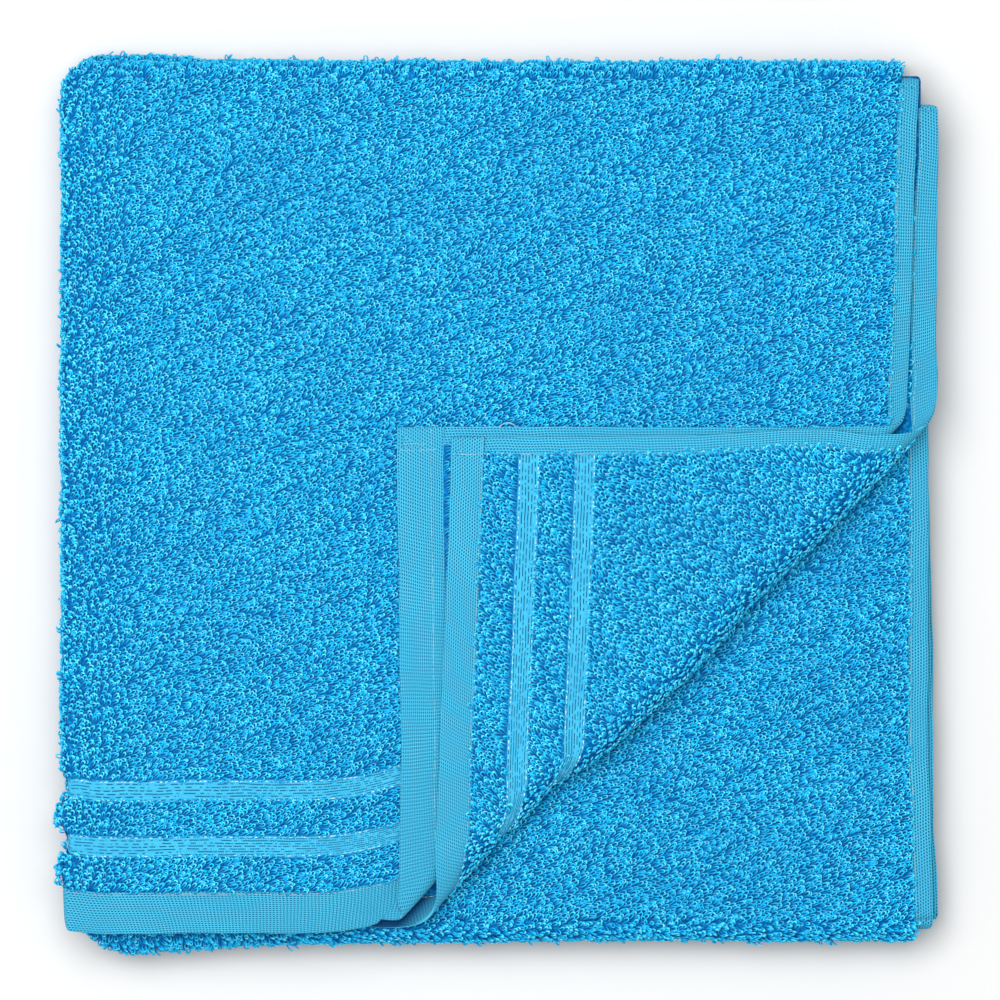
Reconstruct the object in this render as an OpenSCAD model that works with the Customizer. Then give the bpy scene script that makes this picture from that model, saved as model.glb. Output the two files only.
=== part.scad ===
// Bath towel, folded lengthwise and then in four panels, with the front right corner turned back.
// X runs to the side hems, Y to the back edge, Z up. The underside is at Z = 0 and the origin is at
// its centre. Panels are numbered 0 to 3 from the bottom. In each panel layer 0 is the lower and
// layer 1 the upper. The turned-back corner is level 4: its layer 0 is the panel's upper layer,
// turned over, and its layer 1 is the panel's lower layer.

/* [Towel] */
// Width of the towel laid flat
towel_w = 700; // [600:10:800]
// Length of the towel laid flat
towel_l = 1400; // [1200:20:1600]
// Thickness of one layer of terry with its loops
terry_t = 4.2; // [3.4:0.1:5]
// Thickness of a sewn hem
hem_t = 1.6; // [1:0.1:2.2]
// Thickness of a flat woven stripe
stripe_t = 2; // [1:0.1:2.6]

/* [Borders] */
// Width of the side hems
side_hem_w = 8; // [5:0.5:12]
// Width of the end hem on an upper layer
upper_end_hem_w = 17; // [12:0.5:22]
// Width of the end hem on a lower layer
lower_end_hem_w = 13.5; // [10:0.5:18]
// Width of a terry band between stripes
band_w = 13.4; // [9:0.2:18]
// Width of a woven stripe
stripe_w = 9; // [6:0.2:12]

/* [Folding] */
// Extra width and length that the soft folds add to a folded panel
fold_ease = 3.5; // [2:0.5:6]
// Gap between one folded panel and the next
panel_gap = 0.3; // [0.2:0.05:0.5]
// Distance from the front right corner to where the corner fold meets each edge
flap_leg = 212.5; // [160:2.5:235]
// How far the upper layer of the turned-back corner stands out past a plain mirror image, at its end hem
flap_end_out = 9; // [4:0.5:12]
// The same, at its side hem
flap_side_out = 4; // [2:0.5:8]
// How far the lower layer of the turned-back corner is drawn in at its side hem
flap_side_in = 8; // [4:0.5:10]

/* [Stitching] */
// Width of a seam thread
thread_w = 0.8; // [0.5:0.1:1.2]
// Height of a seam thread above the hem
thread_t = 0.5; // [0.3:0.1:0.8]

/* [Hidden] */
BOTTOM = 0;
LOWER = 1;
MIDDLE = 2;
TOP = 3;
FLAP = 4;
LAYERS = [0, 1];
terry_color = [0.10, 0.60, 0.84];
hem_color = [0.38, 0.76, 0.90];
stripe_color = [0.30, 0.74, 0.90];
thread_color = [0.85, 0.88, 0.82];
panel_w = towel_w / 2 + fold_ease - 0.5;
panel_l = towel_l / 4 + fold_ease + 0.5;
x_left = -panel_w / 2;
x_right = panel_w / 2;
y_front = -panel_l / 2;
y_back = panel_l / 2;
pair_t = 2 * terry_t;
roll_r = pair_t;
far = 2 * panel_w;
// Set-back of each side hem from the widest one, [lower, upper] of each panel
side_set_back = [[4.5, 2.5], [5.5, 1.5], [0, 4.5], [1, 9.5]];
// Set-back of each end hem from the front fold, [lower, upper] of the panels that end in one
bottom_end_set_back = [9, 5];
top_end_set_back = [14.5, 4];
// The corner fold's outer edge is the line x - y = fold_edge, and its flat part ends at fold_start
fold_edge = x_right - y_front - flap_leg;
fold_start = fold_edge - roll_r * sqrt(2);
// Shortening of the corner fold's roll at its ends, so that it stays inside the panel
roll_trim = 6;
end_hem_w = [lower_end_hem_w, upper_end_hem_w];

function base_z(panel) = panel * (pair_t + panel_gap);
function layer_z(panel, layer) = base_z(panel) + layer * terry_t;
function side_x(panel, layer) = x_right - side_set_back[panel][layer];
function has_ends(panel) = panel == BOTTOM || panel == TOP;
function end_set_back(panel) = panel == TOP ? top_end_set_back : bottom_end_set_back;
function end_y(panel, layer) = y_front + end_set_back(panel)[layer];
function border_w(layer) = end_hem_w[layer] + 2 * band_w + 2 * stripe_w;
// Distance from an end's edge to the start of a band or stripe, counted from 0 at the hem
function band_at(layer, i) = end_hem_w[layer] + i * (band_w + stripe_w);
function stripe_at(layer, i) = band_at(layer, i) + band_w;
function front_y(panel, layer) =
    has_ends(panel) ? end_y(panel, layer) + border_w(layer) : y_front + roll_r;
function hem_front_y(panel, layer) =
    has_ends(panel) ? end_y(panel, layer) + end_hem_w[layer] : y_front + roll_r;
// On the flap, layer 1 (outer) comes from the top panel's layer 0 and the other way round
function flap_source(layer) = 1 - layer;
function flap_x(layer) =
    end_y(TOP, flap_source(layer)) + fold_edge - (layer == 0 ? flap_end_out : 0);
function flap_y(layer) =
    side_x(TOP, flap_source(layer)) - fold_edge + (layer == 0 ? flap_side_out : -flap_side_in);

// A plain box from its low corner to its high corner
module slab(x0, x1, y0, y1, z, t) {
    translate([x0, y0, z]) cube([x1 - x0, y1 - y0, t]);
}

// Keeps only what lies behind the corner fold
module behind_fold() {
    intersection() {
        children();
        translate([0, 0, -1]) linear_extrude(base_z(FLAP + 2))
            polygon([[fold_start - far, -far], [fold_start + far, far], [-far, far], [-far, -far]]);
    }
}

// Cuts the top panel at the corner fold, and leaves the others whole
module cut_for(panel) {
    if (panel >= TOP) behind_fold() children();
    else children();
}

// Quarter of a round bar along +X, in the quadrant that side_y and side_z point to
module quarter_bar(length, radius, side_y, side_z) {
    intersection() {
        rotate([0, 90, 0]) cylinder(r = radius, h = length, $fn = 64);
        translate([0, side_y > 0 ? 0 : -radius, side_z > 0 ? 0 : -radius])
            cube([length, radius, radius]);
    }
}

// Terry between the side fold and the side hem of one layer
module terry_field(panel, layer) {
    cut_for(panel)
        slab(x_left + terry_t, side_x(panel, layer) - side_hem_w, front_y(panel, layer),
            y_back - roll_r, layer_z(panel, layer), terry_t);
}

// Roll of the lengthwise fold, which joins the two layers of a panel at the left
module side_roll(panel) {
    y0 = has_ends(panel) ? end_y(panel, 1) : y_front + roll_r;
    length = y_back - roll_r - y0;
    intersection() {
        translate([x_left + terry_t, y0, base_z(panel) + terry_t]) rotate([-90, 0, 0])
            cylinder(r = terry_t, h = length, $fn = 48);
        slab(x_left, x_left + terry_t, y0, y0 + length, base_z(panel), pair_t);
    }
}

// Half of a cross fold at the back (side 1) or front (side -1) edge. half is 1 for the panel above
// the fold and -1 for the panel below it
module edge_roll(panel, side, half) {
    x1 = min(side_x(panel, 0), side_x(panel, 1));
    translate([x_left + terry_t, side > 0 ? y_back - roll_r : y_front + roll_r,
        base_z(panel) + (half > 0 ? 0 : pair_t)])
        quarter_bar(x1 - x_left - terry_t, roll_r, side, half);
}

// Half of the corner fold's roll, below (half -1) or above (half 1) the fold's plane
module corner_roll(half) {
    start = end_y(TOP, 1) + roll_trim;
    stop = side_x(TOP, 1) - fold_start - roll_trim;
    z = half > 0 ? base_z(FLAP) : base_z(TOP) + pair_t;
    translate([start + fold_start, start, z]) rotate([0, 0, 45])
        quarter_bar((stop - start) * sqrt(2), roll_r, -1, half);
}

module side_hem(panel, layer) {
    x1 = side_x(panel, layer);
    cut_for(panel)
        slab(x1 - side_hem_w, x1, hem_front_y(panel, layer), y_back - roll_r,
            layer_z(panel, layer), hem_t);
}

module end_hem(panel, layer) {
    y0 = end_y(panel, layer);
    cut_for(panel)
        slab(x_left + terry_t, side_x(panel, layer), y0, y0 + end_hem_w[layer],
            layer_z(panel, layer), hem_t);
}

// A strip across the end border of one layer, from its distance to the end's edge
module border_strip(panel, layer, from, width, t) {
    y0 = end_y(panel, layer) + from;
    cut_for(panel)
        slab(x_left + terry_t, side_x(panel, layer) - side_hem_w, y0, y0 + width,
            layer_z(panel, layer), t);
}

module stripe(panel, layer, i) {
    border_strip(panel, layer, stripe_at(layer, i), stripe_w, stripe_t);
}

module band(panel, layer, i) {
    border_strip(panel, layer, band_at(layer, i), band_w, terry_t);
}

// Seam threads on the hems of both layers
module stitching(panel) {
    for (layer = LAYERS) {
        x0 = side_x(panel, layer) - side_hem_w;
        z = layer_z(panel, layer) + hem_t;
        cut_for(panel)
            slab(x0, x0 + thread_w, hem_front_y(panel, layer), y_back - roll_r, z, thread_t);
        if (has_ends(panel)) {
            y1 = end_y(panel, layer) + end_hem_w[layer];
            cut_for(panel)
                slab(x_left + terry_t, x0, y1 - thread_w, y1, z, thread_t);
        }
    }
}

// The flap's pieces: its end hem, bands and stripes run along Y, and its side hem along X
module flap_field(layer) {
    source = flap_source(layer);
    behind_fold()
        slab(flap_x(layer) + border_w(source), x_right, y_front, flap_y(layer) - side_hem_w,
            layer_z(FLAP, layer), terry_t);
}

module flap_strip(layer, from, width, t) {
    x0 = flap_x(layer) + from;
    behind_fold()
        slab(x0, x0 + width, y_front, flap_y(layer) - side_hem_w, layer_z(FLAP, layer), t);
}

module flap_stripe(layer, i) {
    flap_strip(layer, stripe_at(flap_source(layer), i), stripe_w, stripe_t);
}

module flap_band(layer, i) {
    flap_strip(layer, band_at(flap_source(layer), i), band_w, terry_t);
}

module flap_end_hem(layer) {
    x0 = flap_x(layer);
    behind_fold()
        slab(x0, x0 + end_hem_w[flap_source(layer)], y_front, flap_y(layer),
            layer_z(FLAP, layer), hem_t);
}

module flap_side_hem(layer) {
    x0 = flap_x(layer) + end_hem_w[flap_source(layer)];
    behind_fold()
        slab(x0, x_right, flap_y(layer) - side_hem_w, flap_y(layer), layer_z(FLAP, layer), hem_t);
}

module flap_stitching() {
    for (layer = LAYERS) {
        x1 = flap_x(layer) + end_hem_w[flap_source(layer)];
        y0 = flap_y(layer) - side_hem_w;
        z = layer_z(FLAP, layer) + hem_t;
        behind_fold() slab(x1 - thread_w, x1, y_front, y0, z, thread_t);
        behind_fold() slab(x1, x_right, y0, y0 + thread_w, z, thread_t);
    }
}

// Bottom panel
module bottom_panel_upper_terry() { color(terry_color) terry_field(BOTTOM, 1); }
module bottom_panel_lower_terry() { color(terry_color) terry_field(BOTTOM, 0); }
module bottom_panel_side_fold() { color(terry_color) side_roll(BOTTOM); }
module bottom_panel_back_fold() { color(terry_color) edge_roll(BOTTOM, 1, -1); }
module bottom_panel_upper_side_hem() { color(hem_color) side_hem(BOTTOM, 1); }
module bottom_panel_lower_side_hem() { color(hem_color) side_hem(BOTTOM, 0); }
module bottom_panel_upper_end_hem() { color(hem_color) end_hem(BOTTOM, 1); }
module bottom_panel_lower_end_hem() { color(hem_color) end_hem(BOTTOM, 0); }
module bottom_panel_upper_stripes() { color(stripe_color) for (i = [0, 1]) stripe(BOTTOM, 1, i); }
module bottom_panel_upper_bands() { color(terry_color) for (i = [0, 1]) band(BOTTOM, 1, i); }
module bottom_panel_lower_stripes() { color(stripe_color) for (i = [0, 1]) stripe(BOTTOM, 0, i); }
module bottom_panel_lower_bands() { color(terry_color) for (i = [0, 1]) band(BOTTOM, 0, i); }
module bottom_panel_stitching() { color(thread_color) stitching(BOTTOM); }
// Lower panel
module lower_panel_upper_terry() { color(terry_color) terry_field(LOWER, 1); }
module lower_panel_lower_terry() { color(terry_color) terry_field(LOWER, 0); }
module lower_panel_side_fold() { color(terry_color) side_roll(LOWER); }
module lower_panel_back_fold() { color(terry_color) edge_roll(LOWER, 1, 1); }
module lower_panel_front_fold() { color(terry_color) edge_roll(LOWER, -1, -1); }
module lower_panel_upper_side_hem() { color(hem_color) side_hem(LOWER, 1); }
module lower_panel_lower_side_hem() { color(hem_color) side_hem(LOWER, 0); }
module lower_panel_stitching() { color(thread_color) stitching(LOWER); }
// Middle panel
module middle_panel_upper_terry() { color(terry_color) terry_field(MIDDLE, 1); }
module middle_panel_lower_terry() { color(terry_color) terry_field(MIDDLE, 0); }
module middle_panel_side_fold() { color(terry_color) side_roll(MIDDLE); }
module middle_panel_back_fold() { color(terry_color) edge_roll(MIDDLE, 1, -1); }
module middle_panel_front_fold() { color(terry_color) edge_roll(MIDDLE, -1, 1); }
module middle_panel_upper_side_hem() { color(hem_color) side_hem(MIDDLE, 1); }
module middle_panel_lower_side_hem() { color(hem_color) side_hem(MIDDLE, 0); }
module middle_panel_stitching() { color(thread_color) stitching(MIDDLE); }
// Top panel
module top_panel_upper_terry() { color(terry_color) terry_field(TOP, 1); }
module top_panel_lower_terry() { color(terry_color) terry_field(TOP, 0); }
module top_panel_side_fold() { color(terry_color) side_roll(TOP); }
module top_panel_back_fold() { color(terry_color) edge_roll(TOP, 1, 1); }
module top_panel_corner_fold() { color(terry_color) corner_roll(-1); }
module top_panel_upper_side_hem() { color(hem_color) side_hem(TOP, 1); }
module top_panel_lower_side_hem() { color(hem_color) side_hem(TOP, 0); }
module top_panel_upper_end_hem() { color(hem_color) end_hem(TOP, 1); }
module top_panel_lower_end_hem() { color(hem_color) end_hem(TOP, 0); }
module top_panel_upper_outer_stripe() { color(stripe_color) stripe(TOP, 1, 0); }
module top_panel_upper_outer_band() { color(terry_color) band(TOP, 1, 0); }
module top_panel_upper_inner_stripe() { color(stripe_color) stripe(TOP, 1, 1); }
module top_panel_upper_inner_band() { color(terry_color) band(TOP, 1, 1); }
module top_panel_lower_stripes() { color(stripe_color) for (i = [0, 1]) stripe(TOP, 0, i); }
module top_panel_lower_bands() { color(terry_color) for (i = [0, 1]) band(TOP, 0, i); }
module top_panel_stitching() { color(thread_color) stitching(TOP); }
// Corner flap
module corner_flap_outer_terry() { color(terry_color) flap_field(1); }
module corner_flap_inner_terry() { color(terry_color) flap_field(0); }
module corner_flap_fold() { color(terry_color) corner_roll(1); }
module corner_flap_outer_side_hem() { color(hem_color) flap_side_hem(1); }
module corner_flap_inner_side_hem() { color(hem_color) flap_side_hem(0); }
module corner_flap_outer_end_hem() { color(hem_color) flap_end_hem(1); }
module corner_flap_inner_end_hem() { color(hem_color) flap_end_hem(0); }
module corner_flap_edge_stripe() { color(stripe_color) flap_stripe(1, 0); }
module corner_flap_edge_band() { color(terry_color) flap_band(1, 0); }
module corner_flap_field_stripe() { color(stripe_color) flap_stripe(1, 1); }
module corner_flap_field_band() { color(terry_color) flap_band(1, 1); }
module corner_flap_hidden_stripes() { color(stripe_color) for (i = [0, 1]) flap_stripe(0, i); }
module corner_flap_hidden_bands() { color(terry_color) for (i = [0, 1]) flap_band(0, i); }
module corner_flap_stitching() { color(thread_color) flap_stitching(); }

bottom_panel_upper_terry();
bottom_panel_lower_terry();
bottom_panel_side_fold();
bottom_panel_back_fold();
bottom_panel_upper_side_hem();
bottom_panel_lower_side_hem();
bottom_panel_upper_end_hem();
bottom_panel_lower_end_hem();
bottom_panel_upper_stripes();
bottom_panel_upper_bands();
bottom_panel_lower_stripes();
bottom_panel_lower_bands();
bottom_panel_stitching();
lower_panel_upper_terry();
lower_panel_lower_terry();
lower_panel_side_fold();
lower_panel_back_fold();
lower_panel_front_fold();
lower_panel_upper_side_hem();
lower_panel_lower_side_hem();
lower_panel_stitching();
middle_panel_upper_terry();
middle_panel_lower_terry();
middle_panel_side_fold();
middle_panel_back_fold();
middle_panel_front_fold();
middle_panel_upper_side_hem();
middle_panel_lower_side_hem();
middle_panel_stitching();
top_panel_upper_terry();
top_panel_lower_terry();
top_panel_side_fold();
top_panel_back_fold();
top_panel_corner_fold();
top_panel_upper_side_hem();
top_panel_lower_side_hem();
top_panel_upper_end_hem();
top_panel_lower_end_hem();
top_panel_upper_outer_stripe();
top_panel_upper_outer_band();
top_panel_upper_inner_stripe();
top_panel_upper_inner_band();
top_panel_lower_stripes();
top_panel_lower_bands();
top_panel_stitching();
corner_flap_outer_terry();
corner_flap_inner_terry();
corner_flap_fold();
corner_flap_outer_side_hem();
corner_flap_inner_side_hem();
corner_flap_outer_end_hem();
corner_flap_inner_end_hem();
corner_flap_edge_stripe();
corner_flap_edge_band();
corner_flap_field_stripe();
corner_flap_field_band();
corner_flap_hidden_stripes();
corner_flap_hidden_bands();
corner_flap_stitching();
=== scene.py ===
import math
import bpy
import numpy as np
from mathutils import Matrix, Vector


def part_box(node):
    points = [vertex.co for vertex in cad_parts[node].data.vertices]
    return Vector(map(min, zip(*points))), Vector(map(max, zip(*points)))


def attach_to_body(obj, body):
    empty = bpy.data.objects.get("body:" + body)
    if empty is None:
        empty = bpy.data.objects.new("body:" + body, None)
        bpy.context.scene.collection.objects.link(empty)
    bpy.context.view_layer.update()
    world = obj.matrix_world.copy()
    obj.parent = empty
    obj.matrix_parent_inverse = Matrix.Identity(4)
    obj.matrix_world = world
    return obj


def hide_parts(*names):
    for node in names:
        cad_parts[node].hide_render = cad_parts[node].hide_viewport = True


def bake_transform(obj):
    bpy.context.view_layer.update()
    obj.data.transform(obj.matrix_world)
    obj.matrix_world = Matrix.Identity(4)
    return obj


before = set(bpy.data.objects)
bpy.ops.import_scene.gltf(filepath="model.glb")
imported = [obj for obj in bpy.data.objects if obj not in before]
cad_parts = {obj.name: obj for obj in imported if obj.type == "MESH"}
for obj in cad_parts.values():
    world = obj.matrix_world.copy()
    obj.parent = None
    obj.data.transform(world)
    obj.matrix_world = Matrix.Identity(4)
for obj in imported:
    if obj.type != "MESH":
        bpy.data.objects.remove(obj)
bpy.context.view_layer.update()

# A folded terry bath towel with one corner turned back. The cloth, the pile, the hems, the woven
# stripes and the seam threads are built round the frame's nodes. Lengths are millimetres until a
# mesh is made. Panels count from the bottom; in each, layer 0 is the lower and layer 1 the upper.
# The turned-back corner has the top panel's upper layer as its layer 0 (inner) and the top panel's
# lower layer as its layer 1 (outer).

MM = 0.001
ROOT2 = math.sqrt(2)
PANELS = ["bottom_panel", "lower_panel", "middle_panel", "top_panel"]
BODIES = PANELS + ["corner_flap"]
BOTTOM, LOWER, MIDDLE, TOP, FLAP = range(5)
LAYERS = ["lower", "upper"]
FLAP_LAYERS = ["inner", "outer"]


# ---------------------------------------- frame measures

def low(node, axis):
    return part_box(node)[0][axis] / MM


def high(node, axis):
    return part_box(node)[1][axis] / MM


def span(node, axis):
    return high(node, axis) - low(node, axis)


X_LEFT = low("top_panel_side_fold", 0)
Y_BACK = high("top_panel_back_fold", 1)
Y_FRONT = low("middle_panel_front_fold", 1)
TOP_Z = high("corner_flap_outer_terry", 2)
ROLL_R = span("top_panel_back_fold", 1)
TERRY_Z = [[low(f"{p}_{layer}_terry", 2) for layer in LAYERS] for p in PANELS]
TERRY_Z.append([low(f"corner_flap_{layer}_terry", 2) for layer in FLAP_LAYERS])
TERRY_T = high("top_panel_upper_terry", 2) - TERRY_Z[TOP][1]
HALF_T = TERRY_T / 2
HEM_T = span("top_panel_upper_side_hem", 2)
SIDE_HEM_W = span("top_panel_upper_side_hem", 0)
SIDE_X = [[high(f"{p}_{layer}_side_hem", 0) for layer in LAYERS] for p in PANELS]
END_Y = {
    panel: [low(f"{PANELS[panel]}_{layer}_end_hem", 1) for layer in LAYERS] for panel in (BOTTOM, TOP)
}
END_HEM_W = [span(f"top_panel_{layer}_end_hem", 1) for layer in LAYERS]
STRIPE_W = span("top_panel_upper_outer_stripe", 1)
BAND_W = span("top_panel_upper_outer_band", 1)
# From an end hem's inner side to the edges of the first stripe and of the second one
BORDER_OFFSETS = (0, BAND_W, BAND_W + STRIPE_W, 2 * BAND_W + STRIPE_W, 2 * (BAND_W + STRIPE_W))
FLAP_X = [low(f"corner_flap_{layer}_end_hem", 0) for layer in FLAP_LAYERS]
FLAP_Y = [high(f"corner_flap_{layer}_side_hem", 1) for layer in FLAP_LAYERS]
# The corner fold's flat part ends on the line x - y = FOLD_START
FOLD_START = high("top_panel_upper_end_hem", 0) - high("top_panel_upper_end_hem", 1)
PANEL_GAP = TERRY_Z[TOP][0] - TERRY_Z[MIDDLE][1] - TERRY_T
# Radius of the cloth's middle in a cross fold, for the inner and the outer of its two layers
INNER_R = (PANEL_GAP + TERRY_T) / 2
OUTER_R = INNER_R + TERRY_T
MIDDLE_R = (INNER_R + OUTER_R) / 2
X_CENTRE = X_LEFT + TERRY_T


def has_ends(panel):
    return panel in (BOTTOM, TOP)


def fold_z(lower_panel):
    """Height of the fold between a panel and the next one up."""
    return TERRY_Z[lower_panel + 1][0] - PANEL_GAP / 2


def vectors(x, y, z):
    """Points or directions from their three parts, each an array or a number."""
    return np.stack(np.broadcast_arrays(x, y, z), -1)


# ---------------------------------------- shape of the edges

def eased(at, keys, values):
    """Smooth steps between a few given values."""
    keys, values, at = np.asarray(keys, float), np.asarray(values, float), np.asarray(at, float)
    i = np.clip(np.searchsorted(keys, at) - 1, 0, len(keys) - 2)
    t = np.clip((at - keys[i]) / (keys[i + 1] - keys[i]), 0, 1)
    t = t * t * (3 - 2 * t)
    return values[i] * (1 - t) + values[i + 1] * t


def wavy(at, seed):
    """A gentle wave of about 1 mm, different for each seed."""
    at = np.asarray(at, float)
    slow = 0.5 * np.sin(at / 23 + 1.7 * seed) + 0.4 * np.sin(at / 9.1 + 2.9 * seed)
    return slow + 0.2 * np.sin(at / 4.3 + seed)


# How far each side hem strays from a straight line: places along y and the drift in x at each
SIDE_DRIFT = {
    (TOP, 1): ((-180, 40, 105, 170), (-4.0, -3.8, -1.4, 0.6)),
    (TOP, 0): ((30, 49, 65, 160), (-3.0, 0.5, -0.5, 0.5)),
    (MIDDLE, 1): ((-171, -88, 170), (2.0, 0.0, 0.0)),
    (MIDDLE, 0): ((-165, -127, 25, 120, 158), (0.0, -2.0, -4.2, -4.0, -8.0)),
    (LOWER, 1): ((-165, -60, 25, 130, 158), (-1.0, -0.5, -2.2, -1.5, -6.0)),
    (LOWER, 0): ((-165, 0, 130, 158), (0.5, -0.5, 0.0, -2.5)),
    (BOTTOM, 1): ((-165, 0, 130, 158), (-0.5, -1.0, 0.0, -5.0)),
    (BOTTOM, 0): ((-165, 0, 130, 158), (0.0, -0.6, 0.0, -3.5)),
}


def side_edge(panel, layer, y):
    """Outer x of a side hem."""
    keys, values = SIDE_DRIFT[panel, layer]
    return SIDE_X[panel][layer] + eased(y, keys, values) + 0.3 * wavy(y, panel * 2 + layer)


def end_edge(panel, layer, x):
    """Outer y of an end hem."""
    y = END_Y[panel][layer] + 0.35 * wavy(x, 11 + panel * 2 + layer)
    if panel == TOP and layer == 0:
        y = y + eased(x, (-95, -45), (0.0, -8.5))
    if panel == TOP and layer == 1:
        y = y + eased(x, (-176, -158), (1.0, 0.0)) + 5.2 * np.clip((x + 76) / 32, 0, 1.2) ** 2
    return y


# Reach and depth of the rounded folded corners
BACK_CORNER = (15, 12)
FRONT_CORNER = (26, 22)
# How far the terry bands stand out past the flat stripes on the lengthwise fold
BAND_BULGE = 2.4


def left_edge(panel, y):
    """x of the centre line of the lengthwise fold, which turns in at the rounded corners."""
    x = X_CENTRE + 0.45 * wavy(y, 21 + panel)
    x = x + corner_inset(Y_BACK - y, BACK_CORNER)
    if not has_ends(panel):
        x = x + corner_inset(y - Y_FRONT, FRONT_CORNER)
    if panel == TOP:
        return x - BAND_BULGE * band_window(y)
    return x + eased(y, (-125, -100), (3.5, 0.0))


def corner_inset(d, corner):
    """How far a folded corner turns in, from the distance to the cross fold's outer edge."""
    reach, depth = corner
    t = np.clip(1 - np.asarray(d, float) / reach, 0, 1)
    return depth * (1 - np.sqrt(1 - 0.98 * t * t))


def band_window(y):
    """1 in the middle of the top panel's two terry bands, 0 on the flat stripes and the hem."""
    d = np.asarray(y, float) - END_Y[TOP][1] - END_HEM_W[1]
    step = BAND_W + STRIPE_W
    inside = np.where(d < step, d, d - step) / BAND_W
    window = np.sin(math.pi * np.clip(inside, 0, 1)) ** 0.6
    return window * (d > 0) * (d < step + BAND_W)


# x + y along the corner fold, between the end hem and the side hem, which are stiff and hold it open
ROLL_KEYS = (-185, -120, 120, 185)


def outer_roll(s):
    """Radius of the outer layer round the corner fold."""
    return OUTER_R + eased(s, ROLL_KEYS, (6.2, 0.0, 0.0, 4.7))


def inner_roll(s):
    """Radius of the inner layer round the corner fold."""
    return INNER_R + eased(s, ROLL_KEYS, (2.8, 0.0, 0.0, 1.4))


def fold_start(s):
    """x - y where the corner fold starts, at x + y = s. The values place the outside of the roll."""
    keys = (-188, -160, -95, -50, 20, 64, 120, 205)
    outside = FOLD_START + eased(s, keys, (8.4, 4.6, 4.1, 12.1, 13.6, 10.1, 11.6, 9.7))
    return outside - ROOT2 * outer_roll(s)


# How far the outer layer's end edge on the turned-back corner is drawn in at its top, and its slant
FLAP_DRAWN_IN = 2.2
FLAP_SLANT = 0.0385


def flap_left(layer, y):
    """x of the end edge on the turned-back corner."""
    if layer == 1:
        return FLAP_X[1] + FLAP_DRAWN_IN - FLAP_SLANT * (FLAP_Y[1] - y) + 0.25 * wavy(y, 31)
    drift = eased(y, (-168, -150, -100, -62, 30), (-1.2, 0.7, 1.4, 0.6, -0.2))
    return FLAP_X[0] + drift + 0.2 * wavy(y, 32)


def flap_top(layer, x):
    """y of the side edge on the turned-back corner."""
    if layer == 1:
        return FLAP_Y[1] - 0.5 + eased(x, (60, 128, 152, 166), (0.0, 3.2, 0.9, 1.2)) + 0.2 * wavy(x, 33)
    return FLAP_Y[0] + 0.2 * wavy(x, 34)


def settle(points):
    """The soft rise and fall of the whole pile of layers, which grows with height."""
    x, y, z = points[..., 0], points[..., 1], points[..., 2]
    swell = 0.40 * np.sin(x / 37 + 0.6) * np.cos(y / 43 - 0.4) + 0.25 * np.sin((x + 1.7 * y) / 51 + 1.1)
    swell = swell + 0.12 * np.sin((1.3 * x - y) / 19 + 2.0)
    out = points.copy()
    out[..., 2] = z + swell * z / TOP_Z
    return out


# The next four find places in plan where a line meets the start of the corner fold, step by step.

def solve_x(y):
    """x for the line at y."""
    x = np.asarray(y, float) + FOLD_START
    for _ in range(8):
        x = y + fold_start(x + y)
    return x


def solve_flap_y(layer, a):
    """y for the flap's line at distance a from its end edge."""
    y = np.full(np.shape(a), -100.0)
    for _ in range(50):
        x = flap_left(layer, y) + a
        y = x - fold_start(x + y)
    return y


def solve_flap_x(layer, b):
    """x for the flap's line at distance b from its side edge."""
    x = np.full(np.shape(b), 150.0)
    for _ in range(12):
        y = flap_top(layer, x) - b
        x = y + fold_start(x + y)
    return x


def solve_side_y(layer, b):
    """y for the top panel's line at distance b from its side edge."""
    y = np.full(np.shape(b), 30.0)
    for _ in range(12):
        x = side_edge(TOP, layer, y) - b
        y = x - fold_start(x + y)
    return y


def roll_points(s, theta, radius, z_top, z_bottom):
    """Points on the corner fold, at x + y = s and theta from -pi/2 (below) to pi/2 (above)."""
    out = fold_start(s) / ROOT2 + radius * np.cos(theta)
    x = s / 2 + out / ROOT2
    y = s / 2 - out / ROOT2
    z = (z_top + z_bottom) / 2 + (z_top - z_bottom) / 2 * np.sin(theta)
    return vectors(x, y, z)


# ---------------------------------------- materials

SHEEN_TINT = (0.2, 0.75, 1.0, 1)
WHITE = (1.0, 1.0, 1.0)
# What the slow clouds of darker cotton multiply the colour by, in the pile and in the weaves
PILE_CLOUD = (0.86, 0.90, 0.94)
WEAVE_CLOUD = (0.86, 0.91, 0.94)
# The same for a weave in deep shade
DEEP_SHADE = (0.0, 0.13, 0.28)


def node_material(name, color, roughness, sheen):
    material = bpy.data.materials.new(name)
    material.use_nodes = True
    material.diffuse_color = (*color, 1)
    shader = material.node_tree.nodes["Principled BSDF"]
    shader.inputs["Base Color"].default_value = (*color, 1)
    shader.inputs["Roughness"].default_value = roughness
    shader.inputs["Sheen Weight"].default_value = sheen
    shader.inputs["Sheen Roughness"].default_value = 0.4
    shader.inputs["Sheen Tint"].default_value = SHEEN_TINT
    shader.inputs["Specular IOR Level"].default_value = 0.1
    return material, material.node_tree, shader


def add_node(tree, kind, **values):
    node = tree.nodes.new(kind)
    for key, value in values.items():
        if key in node.inputs:
            node.inputs[key].default_value = value
        else:
            setattr(node, key, value)
    return node


def object_texture(tree, kind, **values):
    """A noise or a cell texture in object coordinates."""
    place = add_node(tree, "ShaderNodeTexCoord")
    texture = add_node(tree, kind, **values)
    tree.links.new(place.outputs["Object"], texture.inputs["Vector"])
    return texture


def mix_colors(tree, factor, first, second, blend="MIX"):
    node = tree.nodes.new("ShaderNodeMix")
    node.data_type = "RGBA"
    node.blend_type = blend
    for socket, value in ((node.inputs[0], factor), (node.inputs[6], first), (node.inputs[7], second)):
        if isinstance(value, bpy.types.NodeSocket):
            tree.links.new(value, socket)
        elif isinstance(value, (int, float)):
            socket.default_value = value
        else:
            socket.default_value = (*value, 1)
    return node.outputs[2]


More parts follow.
